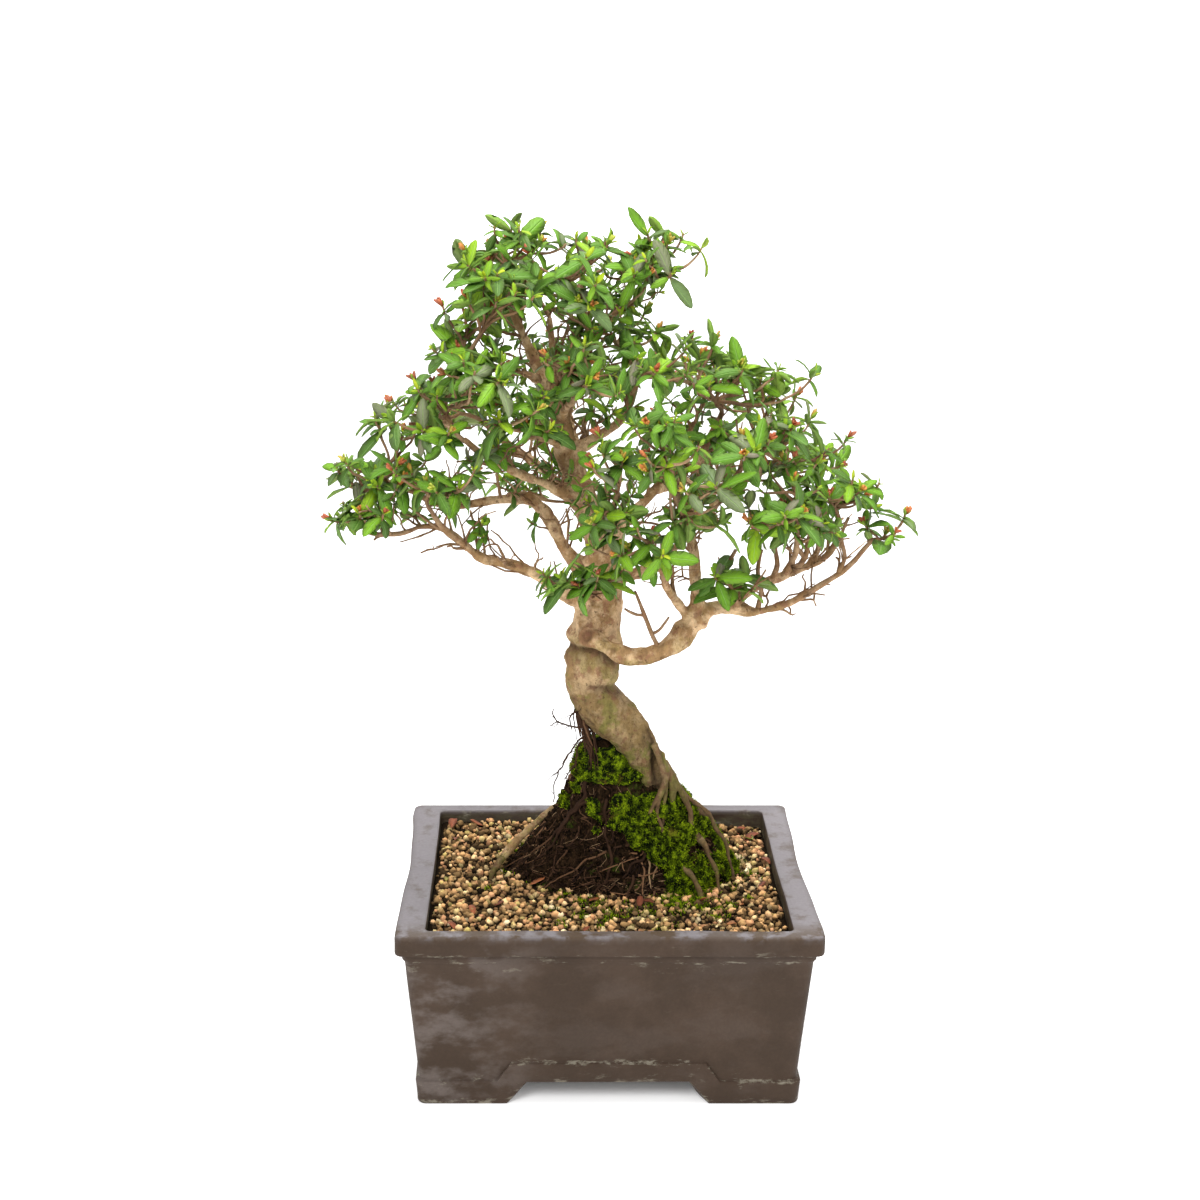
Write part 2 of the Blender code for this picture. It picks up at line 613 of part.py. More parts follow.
def tube(name, route, sides, collection, grow=0.0):
    """A closed tube along (x, y, z, radius) points, as a mesh object."""
    curve = bpy.data.curves.new(name, "CURVE")
    curve.dimensions = "3D"
    curve.bevel_depth = MM
    curve.bevel_resolution = sides // 2 - 2
    curve.use_fill_caps = True
    spline = curve.splines.new("POLY")
    spline.points.add(len(route) - 1)
    for point, (x, y, z, radius) in zip(spline.points, route):
        point.co = (x * MM, y * MM, z * MM, 1.0)
        point.radius = radius + grow
    guide = as_object(name, curve, collection)
    graph = bpy.context.evaluated_depsgraph_get()
    mesh = bpy.data.meshes.new_from_object(guide.evaluated_get(graph))
    bpy.data.objects.remove(guide, do_unlink=True)
    shape = bmesh.new()
    shape.from_mesh(mesh)
    bmesh.ops.remove_doubles(shape, verts=shape.verts, dist=0.000001)
    bmesh.ops.recalc_face_normals(shape, faces=shape.faces)
    shape.to_mesh(mesh)
    shape.free()
    return as_object(name, mesh, collection)


def make_tree(parts, cutters):
    """The tree: trunk, surface roots and limbs, grown together as one piece."""
    tree = tube("tree", smoothed(TRUNK, TRUNK_STEPS), TRUNK_SIDES, parts)
    others = [tube(name, route, ROOT_SIDES, cutters) for name, route in ROOTS.items()]
    for name, route in LIMBS.items():
        thickest = max(radius for *place, radius in route[1:])
        sides = next(count for least, count in LIMB_SIDES if thickest > least)
        others.append(tube(name, route, sides, cutters))
    join(tree, others)
    return tree


def make_tree_space(cutters):
    """The room that the trunk's foot and the roots take in the mound and the soil."""
    space = tube("tree_space", smoothed(TRUNK, TRUNK_STEPS), TRUNK_SIDES, cutters, SEAT)
    roots = [tube(name, route, ROOT_SIDES, cutters, SEAT) for name, route in ROOTS.items()]
    join(space, roots)
    return space


def copy_of(thing, collection):
    """A copy of an object with a mesh of its own."""
    return as_object(thing.name, thing.data.copy(), collection)


def blade(length, width, thickness):
    """Points and faces of one leaf along +X: flat above, keeled below, curved down to its tip."""
    points = []
    for along, share in LEAF_OUTLINE:
        x = along * length
        z = -LEAF_DROOP * length * along * along
        half = width / 2 * share
        keel = z - thickness * max(share, LEAF_KEEL)
        points += [(x, half, z), (x, -half, z), (x, 0.0, keel)]
    points.append((length, 0.0, -LEAF_DROOP * length))
    faces = [(0, 2, 1)]
    for start in range(0, 3 * (len(LEAF_OUTLINE) - 1), 3):
        left, right, keel = start, start + 1, start + 2
        faces += [(left, right, right + 3, left + 3)]
        faces += [(right, keel, keel + 3, right + 3)]
        faces += [(keel, left, left + 3, keel + 3)]
    tip = len(points) - 1
    left, right, keel = tip - 3, tip - 2, tip - 1
    faces += [(left, right, tip), (right, keel, tip), (keel, left, tip)]
    return [Vector(point) * MM for point in points], faces


def leaf_frame(tip, axis, turn, lift):
    """The place of a leaf that leaves a twig at a turn from outwards and a lift from square to it."""
    outward = Vector((tip.x - CROWN_X * MM, tip.y, 0.0)).normalized()
    side = (outward - axis * outward.dot(axis)).normalized()
    other = axis.cross(side)
    spread = side * math.cos(turn) + other * math.sin(turn)
    along = spread * math.cos(lift) + axis * math.sin(lift)
    above = axis * math.cos(lift) - spread * math.sin(lift)
    across = above.cross(along)
    frame = Matrix((along, across, above)).transposed().to_4x4()
    frame.translation = tip
    return frame


def tree_of(points, faces):
    """A search tree of some faces, for overlap tests."""
    return BVHTree.FromPolygons(points, faces)


def tree_of_object(thing):
    """A search tree of an object's faces."""
    mesh = thing.data
    return tree_of([point.co for point in mesh.vertices], [face.vertices[:] for face in mesh.polygons])


def meets(candidate, others):
    """Whether a search tree touches any of the others."""
    return any(candidate.overlap(other) for other in others)


def twig_route(start, heading, end, bulge):
    """Points of a twig from a start with a heading up to its tip, on a cubic curve."""
    reach = (end - start).length
    along, up = TWIG_RISE
    rise = (end - start).normalized() * along + Vector((0.0, 0.0, up)) + bulge
    first = start + heading * reach * TWIG_BEND
    second = end - rise.normalized() * reach * TWIG_BEND
    points = []
    for t in (0.0, 0.5, 1.0):
        s = 1 - t
        points.append(start * s**3 + first * 3 * s * s * t + second * 3 * s * t * t + end * t**3)
    return points


def grow_twig(name, start, heading, end, radius, draws, cutters, neighbours, straight=None):
    """A twig clear of the neighbours, with its points, or nothing where no way is found."""
    for attempt in range(TWIG_TRIES):
        wander = TWIG_WANDER * attempt
        bulge = Vector([draws.uniform(-wander, wander) for _ in range(3)])
        points = twig_route(start, heading, end, bulge)
        if straight is not None:
            points.insert(0, straight)
        count = len(points)
        route = []
        for step, point in enumerate(points):
            here = radius + (TWIG_RADIUS - radius) * step / (count - 1)
            route.append((*point, here))
        wide = tube(name, route, TWIG_SIDES, cutters, SEAT)
        room = tree_of_object(wide)
        bpy.data.objects.remove(wide, do_unlink=True)
        if not meets(room, neighbours):
            return points, tube(name, route, TWIG_SIDES, cutters)
    return None


def place_before_tip(points, distance):
    """The point of a twig at a distance back from its tip, and the twig's direction there."""
    for ahead, behind in zip(points[::-1], points[-2::-1]):
        span = (ahead - behind).length
        axis = (ahead - behind).normalized()
        if distance <= span:
            return ahead - axis * distance, axis
        distance -= span
    return points[0], axis


def grow_leaves(twig, draws, cutters, neighbours, own):
    """The whorl of leaves at a twig's tip. Each leaf is turned until it is clear."""
    leaves = []
    for leaf in range(LEAVES):
        length = draws.uniform(*LEAF_LENGTH) if leaf else LEAF_LENGTH[1]
        width = length * LEAF_SLENDERNESS
        root, axis = place_before_tip(twig, LEAF_SPACING * (leaf + 0.5))
        for attempt in range(LEAF_TRIES):
            wander = LEAF_WANDER[0] + LEAF_WANDER[1] * attempt
            turn = LEAF_TURN * leaf + draws.uniform(-wander, wander)
            lift = math.radians(draws.uniform(*LEAF_LIFT))
            frame = leaf_frame(root * MM, axis, turn, lift)
            size = (length, width, LEAF_THICKNESS)
            points, faces = blade(*size)
            wide_points, _ = blade(*[side + room for side, room in zip(size, LEAF_ROOM)])
            lifted = [frame @ (point + Vector((0, 0, SEAT * MM))) for point in wide_points]
            if meets(tree_of(lifted, faces), neighbours):
                continue
            placed = [frame @ point for point in points]
            shape = tree_of(placed, faces)
            if attempt < LEAF_CLEAR_TRIES and meets(shape, own):
                continue
            own.append(shape)
            mesh = bpy.data.meshes.new("leaf")
            mesh.from_pydata(placed, [], faces)
            leaves.append(as_object("leaf", mesh, cutters))
            break
    return leaves


def make_spray(name, limb, tips, draws, parts, cutters, neighbours):
    """A leafy spray on the end of a limb: its stem, side twigs and whorls of leaves in one piece."""
    *_, before, end = [Vector(point[:3]) for point in limb]
    radius = limb[-1][3]
    heading = (end - before).normalized()
    base = end + heading * GAP
    start = base + heading * TWIG_START
    pieces = []
    own = []
    stem = None
    for order, tip in enumerate(tips):
        tip = Vector(tip)
        if order == 0:
            grown = grow_twig(name, start, heading, tip, radius, draws, cutters, neighbours, base)
        else:
            share = min(1 + order % 2, len(stem) - 2)
            fork = stem[share]
            fork_heading = ((stem[share + 1] - fork).normalized() + (tip - fork).normalized()).normalized()
            grown = grow_twig(name, fork, fork_heading, tip, TWIG_RADIUS, draws, cutters, neighbours)
        if grown is None:
            if order == 0:
                return None
            continue
        points, twig = grown
        if order == 0:
            stem = points
        pieces.append(twig)
        pieces += grow_leaves(points, draws, cutters, neighbours, own)
    spray = pieces.pop(0)
    cutters.objects.unlink(spray)
    parts.objects.link(spray)
    spray.hide_render = False
    spray.display_type = "TEXTURED"
    spray.name = name
    join(spray, pieces)
    return spray


def stand_on_origin(things):
    """Moves every mesh so that the origin is the bottom centre of their bounding box."""
    points = [point.co for thing in things for point in thing.data.vertices]
    low = Vector([min(point[axis] for point in points) for axis in range(3)])
    high = Vector([max(point[axis] for point in points) for axis in range(3)])
    centre = (low + high) / 2
    shift = Matrix.Translation((-centre.x, -centre.y, -low.z))
    for thing in things:
        thing.data.transform(shift)


def main():
    """Builds every piece, dresses it and sets the whole on the origin."""
    empty_scene()
    parts = new_collection("satsuki_azalea_bonsai")
    cutters = new_collection("cutters", hidden=True)
    clay = finish("fired_clay", (0.105, 0.085, 0.075), 0.75)
    plastic = finish("screen_plastic", (0.02, 0.02, 0.02), 0.5)
    granules = finish("granules", (0.42, 0.30, 0.17), 0.95)
    earth = finish("root_earth", (0.07, 0.045, 0.025), 0.95)
    green_moss = finish("moss", (0.12, 0.20, 0.03), 0.95)
    bark = finish("bark", (0.40, 0.30, 0.20), 0.8)
    foliage = finish("foliage", (0.08, 0.22, 0.03), 0.5)

    dressed = [(make_pot(parts, cutters), clay)]
    for name, side in (("drain_screen_left", -1), ("drain_screen_right", 1)):
        dressed.append((make_screen(name, side, parts, cutters), plastic))
    tree = make_tree(parts, cutters)
    dressed.append((tree, bark))
    space = make_tree_space(cutters)
    mound = make_mound(parts, cutters, copy_of(space, cutters))
    dressed.append((mound, earth))
    dressed.append((make_moss(parts, cutters, copy_of(space, cutters)), green_moss))
    dressed.append((make_soil(parts, cutters, space), granules))

    draws = random.Random(SEED)
    neighbours = [tree_of_object(tree)]
    for limb, tips in WHORLS.items():
        spray = make_spray("spray_" + limb, LIMBS[limb], tips, draws, parts, cutters, neighbours)
        if spray is not None:
            neighbours.append(tree_of_object(spray))
            dressed.append((spray, foliage))
    for thing, material in dressed:
        thing.data.materials.clear()
        thing.data.materials.append(material)
        thing.data.shade_smooth()
        thing.data.set_sharp_from_angle(angle=SHARP_ANGLE)
    stand_on_origin([thing for thing, material in dressed])


main()
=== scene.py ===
"""The looks of a satsuki azalea bonsai in its rectangular clay pot.

Sizes and routes are in millimetres from the bottom centre of the pot, +X to the right,
+Y to the back and +Z up. A piece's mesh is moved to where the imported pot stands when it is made.
"""

import logging
import math
from dataclasses import dataclass, field
from enum import Enum
from typing import Any, Sequence

import bpy
import numpy as np
from mathutils import Euler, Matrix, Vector
from numpy.typing import NDArray


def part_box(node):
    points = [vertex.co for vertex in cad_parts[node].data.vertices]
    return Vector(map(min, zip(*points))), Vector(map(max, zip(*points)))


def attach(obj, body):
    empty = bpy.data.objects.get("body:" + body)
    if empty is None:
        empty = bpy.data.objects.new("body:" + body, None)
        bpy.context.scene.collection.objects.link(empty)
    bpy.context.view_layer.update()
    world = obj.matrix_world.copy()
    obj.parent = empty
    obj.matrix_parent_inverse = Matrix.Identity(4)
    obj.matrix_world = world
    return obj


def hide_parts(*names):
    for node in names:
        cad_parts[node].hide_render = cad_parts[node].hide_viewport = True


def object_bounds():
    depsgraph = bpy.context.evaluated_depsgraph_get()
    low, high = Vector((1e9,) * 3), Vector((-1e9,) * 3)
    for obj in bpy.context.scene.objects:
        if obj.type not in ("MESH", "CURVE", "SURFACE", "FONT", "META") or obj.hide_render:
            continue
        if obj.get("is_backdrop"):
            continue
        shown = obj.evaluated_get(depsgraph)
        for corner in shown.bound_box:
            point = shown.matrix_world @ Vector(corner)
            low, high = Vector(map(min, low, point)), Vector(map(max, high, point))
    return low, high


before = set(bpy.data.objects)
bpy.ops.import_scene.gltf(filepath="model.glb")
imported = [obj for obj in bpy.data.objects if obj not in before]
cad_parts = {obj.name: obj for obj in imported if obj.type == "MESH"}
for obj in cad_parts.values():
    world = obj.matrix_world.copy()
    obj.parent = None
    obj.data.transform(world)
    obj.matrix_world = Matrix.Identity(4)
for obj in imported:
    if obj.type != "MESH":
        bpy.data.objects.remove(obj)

Array = NDArray[np.float64]
Indices = NDArray[np.int64]
Colour = tuple[float, float, float]
Routes = dict[str, Sequence[Sequence[float]]]
Draws = np.random.Generator

MM = 0.001
TURN = 2 * math.pi
LOG = logging.getLogger("azalea")

# Woody routes, as (x, y, z, radius) points
TRUNK = (
    (22, 7, 92, 14), (25, 7, 112, 13), (27, 5, 131, 11), (25, 2, 149, 8.6), (20.5, 0, 163, 9.3),
    (16.5, -2, 174, 10.4), (8.5, -2, 186, 12), (-1.5, -2, 197, 13), (-8, -1, 206, 13),
    (-8.8, -1, 215, 14), (-8, 0, 224, 14.6), (-7, 0, 234, 13.8), (-6, 0, 243, 12.5),
    (-4, 2, 257, 11.4), (-3, 4, 277, 8.8), (-9, 5, 299, 6.6), (-17, 6, 320, 6.4),
    (-24, 6, 341, 6.2), (-26, 6, 356, 5.2),
)
ROOTS: Routes = {
    "left": (
        (18, 7, 146, 5.5), (2, 10, 143, 4), (-16, 14, 136, 3.2), (-31, 19, 127, 2.8),
        (-43, 14, 117, 2.6), (-53, 7, 109, 2.5), (-60, 2, 103, 2.3), (-63, -1, 97, 2),
        (-63, -4, 90, 1.6),
    ),
    "front": (
        (29, -6, 172, 2.6), (32, -9, 162, 2.2), (30, -11, 153, 1.9), (26, -13, 144, 1.7),
        (23.5, -14, 137, 1.3), (26, -15, 131, 1), (31, -16, 125, 0.9), (37, -18, 119, 1.5),
        (41, -19, 113, 1.7), (45, -21, 108, 2), (49, -23, 102, 1.6), (53, -26, 91, 1.3),
    ),
    "front_fork": (
        (29, -9, 152, 1.6), (28.4, -13, 146, 1.5), (28, -14.5, 139, 1.3), (31, -16, 131, 1),
        (31, -16, 126, 0.7),
    ),
    "stout": (
        (19, -4, 186, 4), (29, -5, 169, 3), (35.4, -6, 154, 2.6), (36.5, -8, 143, 2.2),
        (36.5, -10, 134, 1.2),
    ),
    "ridge": (
        (16, -6, 194, 3), (24, -8, 181, 2.6), (29, -9.5, 168, 2), (31.5, -9.5, 156, 1.7),
        (32, -11, 145, 1.4), (31.5, -14, 133, 0.8),
    ),
    "right_front": (
        (31, -2, 165, 3), (36, -4, 158, 2.4), (40.5, -4, 149, 2.1), (45.5, -5, 139, 2.5),
        (46.8, -6, 129, 1.8), (52, -8, 122, 2.2), (55.5, -9, 114, 1.3), (60, -12, 105, 1.5),
        (64, -15, 91, 1.3),
    ),
    "right_thin": (
        (37, -2, 155, 1.7), (45, -1, 143, 1.5), (56, -1, 134, 1.4), (64, -2, 123, 1.2),
        (69, -4, 112, 1), (73, -6, 98, 0.8),
    ),
    "right": (
        (28, 4, 146, 5), (40, 8, 143, 3.4), (50, 9, 133, 2.8), (58, 12, 122, 2.5),
        (65, 16, 111, 2.2), (71, 19, 100, 1.9), (75, 21, 90, 1.5),
    ),
    "back_left": (
        (18, 9, 148, 6), (6, 22, 143, 4), (-7, 30, 131, 3.2), (-17, 38, 118, 2.7),
        (-26, 45, 106, 2.3), (-32, 51, 96, 2), (-35, 54, 88, 1.6),
    ),
    "back_right": (
        (29, 7, 146, 6), (36, 21, 139, 4), (42, 31, 126, 3), (49, 38, 114, 2.5),
        (56, 44, 103, 2.2), (61, 49, 90, 1.6),
    ),
}
LIMBS: Routes = {
    "left_leader": (
        (-25, 6, 350, 5), (-32, 4, 370, 3.8), (-41, 1, 389, 3), (-47, -2, 403, 2.2),
        (-51, -4, 413, 1.5),
    ),
    "right_leader": (
        (-26, 6, 350, 4.6), (-17, 8, 370, 3.4), (-11, 8, 388, 2.6), (-11, 3, 402, 2),
        (-14, -2, 411, 1.5),
    ),
    "right_leader_twig": (
        (-11, 8, 386, 2.6), (-6, 9, 398, 1.8), (4, 9, 407, 1.6), (14, 8, 414, 1.3),
    ),
    "upper_left": (
        (-32, 4, 368, 3.4), (-40, -6, 377, 2.4), (-52, -16, 382, 1.9), (-62, -24, 386, 1.5),
    ),
    "left_upper": (
        (-7, 5, 266, 7), (-20, 8, 278, 4.6), (-30, 8, 296, 4), (-41, 6, 309, 3.7),
        (-58, 0, 310, 3.2), (-76, -4, 309, 2.6), (-90, -6, 311, 2.1), (-101, -8, 317, 1.6),
    ),
    "left_middle": (
        (-13, 5, 308, 6), (-30, -6, 320, 3.4), (-48, -18, 330, 2.6), (-64, -26, 340, 2),
        (-74, -30, 349, 1.5),
    ),
    "left_lower": (
        (-6, 0, 256, 7), (-24, -6, 263, 4.6), (-36, -10, 272, 4), (-47, -12, 278, 3.6),
        (-62, -12, 282, 3), (-75, -12, 290, 2.4), (-85, -16, 300, 1.9), (-90, -22, 309, 1.5),
    ),
    "left_tip": (
        (-72, -12, 288, 2.4), (-83, -11, 297, 2), (-98, -11, 299, 1.7), (-110, -13, 296, 1.5),
        (-120, -17, 297, 1.3),
    ),
    "front_upper": (
        (-24, 5, 338, 5), (-30, -10, 345, 2.8), (-36, -26, 349, 2), (-41, -38, 353, 1.5),
    ),
    "front_top": (
        (-26, 5, 352, 4.6), (-22, -10, 361, 2.6), (-19, -25, 368, 2), (-18, -38, 375, 1.5),
    ),
    "right_upper": (
        (-22, 6, 334, 5.6), (-8, 7, 342, 3.6), (3, 8, 349, 3), (10, 6, 360, 2.2), (13, 2, 372, 1.5),
    ),
    "right_main": (
        (-10, -4, 239, 7.5), (-3, -15, 237, 5.6), (12, -20, 232, 5.2), (26, -20, 234, 5.3),
        (36, -18, 240, 6), (44, -16, 249, 6.3), (51, -14, 255, 5), (60, -12, 256, 4.4),
        (70, -10, 254, 4.2), (78, -10, 253, 2.8), (95, -8, 258, 2.4), (112, -6, 267, 2.1),
        (125, -4, 276, 1.9), (132, -3, 285, 1.6), (136, -2, 289, 1.3),
    ),
    "right_inner": (
        (64, -11, 256, 3.4), (72, -4, 260, 2.9), (82, 0, 266, 2.8), (95, 2, 270, 2.7),
        (108, 3, 275, 2.4), (117, 4, 282, 2), (120, 4, 291, 1.7), (120, 2, 299, 1.4),
    ),
    "right_upright": (
        (92, 1, 269, 2.6), (95, -8, 280, 2), (96, -18, 291, 1.8), (95, -27, 301, 1.4),
    ),
    "right_rise": (
        (44, -16, 248, 5), (46, -16, 260, 3.9), (45, -14, 273, 3.6), (43, -12, 288, 3.4),
        (41, -10, 305, 3.1), (43, -8, 322, 2.7), (49, -6, 340, 2.2), (55, -6, 354, 1.6),
    ),
    "right_rise_front": (
        (41, -10, 304, 3), (36, -23, 314, 2.1), (32, -35, 324, 1.8), (30, -45, 333, 1.4),
    ),
    "right_rise_side": (
        (43, -9, 318, 2.6), (54, -19, 322, 2.1), (64, -28, 326, 1.8), (72, -34, 331, 1.4),
    ),
    "right_back": (
        (0, 4, 268, 6), (14, 8, 268, 3.6), (28, 10, 274, 3), (42, 20, 286, 2.6),
        (56, 32, 298, 2.2), (68, 42, 310, 1.6),
    ),
    "middle_front": (
        (44, -16, 250, 4.6), (36, -20, 260, 3.2), (30, -28, 272, 2.4), (24, -36, 284, 1.5),
    ),
    "trunk_front": ((-5, 3, 286, 7), (-3, -10, 294, 2.8), (0, -24, 304, 2.1), (1, -36, 314, 1.5)),
    "trunk_low": ((-4, 0, 262, 8), (-9, -14, 264, 2.4), (-13, -22, 267, 1.5)),
    "knob_shoot": ((66, -11, 256, 3.6), (66, -18, 260, 1.7), (64, -22, 264, 1.3)),
    "back_left_limb": (
        (-10, 6, 300, 6.5), (-21, 24, 309, 3.8), (-37, 42, 319, 3), (-54, 52, 330, 2.4),
        (-68, 56, 341, 1.6),
    ),
    "back_middle": (
        (-20, 7, 328, 6), (-18, 26, 334, 3.2), (-19, 46, 341, 2.5), (-22, 64, 350, 1.6),
    ),
    "back_top": ((-26, 7, 350, 4.4), (-28, 20, 368, 3), (-30, 28, 386, 2.4), (-31, 32, 400, 1.6)),
    "back_right_limb": (
        (-4, 5, 284, 7), (10, 24, 293, 4), (26, 42, 305, 3.2), (40, 52, 322, 2.5),
        (48, 54, 340, 1.6),
    ),
    "back_low": ((4, 18, 290, 3.6), (-4, 34, 284, 2.4), (-10, 50, 284, 1.5)),
    "back_right_low": ((26, 42, 305, 3), (40, 60, 304, 2.4), (54, 72, 306, 1.6)),
}
# Bare stems that rise from the right limbs
STEMS = (
    ((86, 0, 267, 1.9), (88, -3, 277, 1.6), (86.5, -6, 288, 1.4), (88, -9, 300, 1)),
    ((97, 2, 270, 2), (103, 0, 279, 1.8), (104, -3, 289, 1.5), (107, -5, 303, 1.1)),
    ((104, 2, 273, 2), (110, 2, 283, 1.7), (109, 0, 293, 1.5), (112, -4, 305, 1.1)),
    (
        (120, -5, 273, 1.7), (123, -4, 281, 1.5), (121, -3, 291, 1.3), (125, -1, 302, 1),
    ),
    (
        (60, -12, 257, 2), (63, -16, 267, 1.7), (60, -20, 278, 1.5), (64, -24, 290, 1.1),
    ),
    ((78, -9, 254, 1.8), (80, -10, 264, 1.5), (77, -13, 275, 1.3), (79, -16, 288, 1)),
    ((103, 0, 279, 1.4), (98, -4, 287, 1.2), (97, -8, 297, 0.9)),
    (
        (26, -20, 235, 1.8), (22.5, -22, 245, 1.5), (18.5, -23, 255, 1.3), (15.5, -23, 263, 1.1),
        (13.5, -22, 268, 0.9),
    ),
    ((22.5, -22, 245, 1.1), (26, -24, 248, 0.9), (31, -25, 255, 0.7)),
    ((18.5, -23, 255, 1.1), (13, -25, 257, 0.9), (8, -26, 260, 0.7)),
)

# Whorls of leaves at the twigs' tips, as (x, y, z), by the limb whose end carries them
WHORLS: Routes = {
    "left_leader": ((-52, 0, 443), (-36, -15, 444), (-61, -30, 431), (-73, 15, 430)),
    "right_leader": ((-13, 5, 440), (-27, -35, 432), (-17, -42, 419)),
    "right_leader_twig": ((12, 0, 431), (24, 16, 437), (30, -10, 429)),
    "upper_left": ((-75, -40, 396), (-56, -45, 420), (-72, -26, 409), (-66, -62, 389)),
    "left_upper": ((-119, -20, 329), (-136, 5, 319), (-112, 24, 322), (-105, -12, 349)),
    "left_middle": ((-88, -25, 375), (-64, -60, 379), (-93, -48, 358)),
    "left_lower": ((-92, -40, 329), (-75, -55, 331)),
    "left_tip": ((-126, -34, 312),),
    "front_upper": ((-42, -50, 361), (-38, -42, 374), (-55, -62, 366)),
    "front_top": ((-22, -50, 390), (-13, -62, 383)),
    "right_upper": ((8, -10, 393), (20, -44, 386), (0, 20, 397)),
    "right_main": ((144, -2, 293),),
    "right_inner": ((112, -14, 316), (126, 6, 311), (103, -20, 304)),
    "right_upright": ((90, -45, 332), (80, -60, 315), (73, -36, 308), (86, -14, 303)),
    "right_rise": ((47, -35, 378), (37, -8, 384), (68, 0, 377), (88, 10, 365)),
    "right_rise_front": ((22, -65, 364), (24, -76, 347), (40, -48, 314)),
    "right_rise_side": ((63, -52, 355), (48, -72, 336), (84, -20, 350), (103, 4, 337)),
    "right_back": ((86, 44, 354), (112, 42, 325), (98, 72, 316)),
    "middle_front": ((8, -55, 300), (20, -60, 306)),
    "trunk_front": ((4, -58, 345), (-6, -56, 318)),
    "trunk_low": ((-4, -32, 277), (-24, -35, 279)),
    "knob_shoot": ((62, -26, 273),),
    "back_left_limb": ((-98, 30, 353), (-72, 64, 362), (-84, 82, 338)),
    "back_middle": ((-28, 84, 371), (0, 90, 352), (-46, 96, 342)),
    "back_top": ((-46, 40, 420), (-12, 46, 424), (-66, 34, 405), (14, 40, 408)),
    "back_right_limb": ((52, 44, 376), (34, 70, 366), (66, 78, 347)),
    "back_low": ((-6, 74, 298), (-44, 78, 298)),
    "back_right_low": ((62, 98, 318), (30, 90, 306)),
}
# Roots seen on the front of the mound: (shade, radius, points)
STRANDS = (
    (0.2, 1.5, (
        (13.6, -15.5, 129.7), (16.5, -16, 126.8), (21.3, -17, 120.9), (20.9, -18.5, 116.3),
        (14.6, -20, 112.8), (8.8, -22.5, 106.6),
    )),
    (0.3, 1.1, ((16.9, -13, 138), (14.5, -14.5, 134.5), (10.2, -15.5, 131.3))),
    (0.35, 1.2, (
        (13.6, -16, 127.8), (13.6, -17, 124.1), (8.7, -17.5, 122.7), (3.9, -17.5, 120.9),
    )),
    (0.85, 1, (
        (20.3, -14, 133.2), (21.3, -15.5, 125.5), (22.5, -17.5, 118), (22.8, -20.5, 108.8),
        (23.5, -22.5, 100.2),
    )),
    (0.8, 0.9, (
        (25.7, -15.5, 123.4), (27.2, -17.5, 115.8), (25.4, -20, 108.6), (24.8, -21, 104.8),
    )),
    (0.55, 0.9, (
        (-33.7, -4.5, 124.1), (-40.6, -2, 118.2), (-49.5, 1.5, 110.1), (-56.6, 8, 102.1),
    )),
    (0.3, 1.2, (
        (1.1, -17, 122), (3, -19.5, 114.7), (-0.9, -22.5, 105.5), (-4.3, -23.5, 100.7),
        (-6.2, -24, 96.7),
    )),
    (0.45, 1.1, (
        (13.6, -22, 107.4), (12.2, -23.5, 100.7), (8.7, -27.5, 95.2), (7.3, -39, 95.2),
    )),
    (0.75, 0.8, (
        (18.4, -19, 114.4), (20.4, -21, 109), (19, -23, 100.4), (19.8, -27, 95),
    )),
    (0.75, 0.7, (
        (16.5, -18, 118.2), (8.8, -19, 116.6), (7.8, -20.5, 112), (10.7, -21.5, 109.3),
    )),
    (0.6, 0.9, (
        (-0.9, -18.5, 118.4), (-10.5, -18.5, 114.2), (-18.2, -19, 108.1),
        (-26.9, -18, 103.3), (-36.6, -16, 95.9),
    )),
    (0.5, 0.8, (
        (-24, -13.5, 117.1), (-29.8, -15, 109.3), (-31.8, -15, 106.1),
        (-34.7, -16, 98.1),
    )),
    (0.2, 1.8, (
        (-6.7, -4.5, 167.8), (-10.5, -6, 155.9), (-14.4, -7.5, 145), (-22.1, -6, 136),
        (-29.8, -5.5, 127.2), (-36.7, -4.5, 120.4),
    )),
    (0.25, 1.5, (
        (-10.5, -9, 145.7), (-18.2, -7.5, 138.7), (-26.9, -6, 129.6), (-36.7, -7, 116.2),
        (-46.5, -4.5, 107.5),
    )),
    (0.25, 1.4, (
        (-0.9, -11.5, 146.8), (-1.9, -13, 138), (-0.9, -15.5, 127.6), (2, -18.5, 118.4),
    )),
    (0.6, 0.9, (
        (26.2, -22.5, 99.1), (24, -29, 94.9), (20.6, -39.5, 95), (21.1, -49.5, 94.8),
    )),
    (0.55, 0.8, (
        (18.4, -27, 95), (13.2, -35.5, 95), (4.4, -40, 95.2), (-2.6, -50.5, 95.4),
    )),
)
# Free roots that hang from the trunk's foot, clear of the mound
HANGING = (
    (
        (-8.5, -5, 184), (-14, -8, 181), (-19.9, -9, 174.8), (-25, -9.5, 166), (-28.4, -9, 157),
        (-29.5, -9, 147.5),
    ),
    (
        (-10.5, -5, 187), (-15.5, -8, 188.5), (-21, -9, 189.5), (-25.8, -9, 191.5),
        (-27.6, -9, 195), (-25.8, -9, 198.2),
    ),
    ((-9.5, -6, 180), (-15.5, -7, 176.5), (-17.5, -8, 166.8), (-22, -8, 157.8)),
    ((-11, -5, 192), (-17, -8, 195), (-20, -9, 192), (-19, -9, 187)),
)
# The bundle of roots along the trunk's underside, from which they hang
BUNDLE = (
    (-10, 0, 204), (-14, -4, 197), (-12.5, -7, 189), (-10, -8, 180), (-8.5, -9, 171), (-8, -9, 164),
)
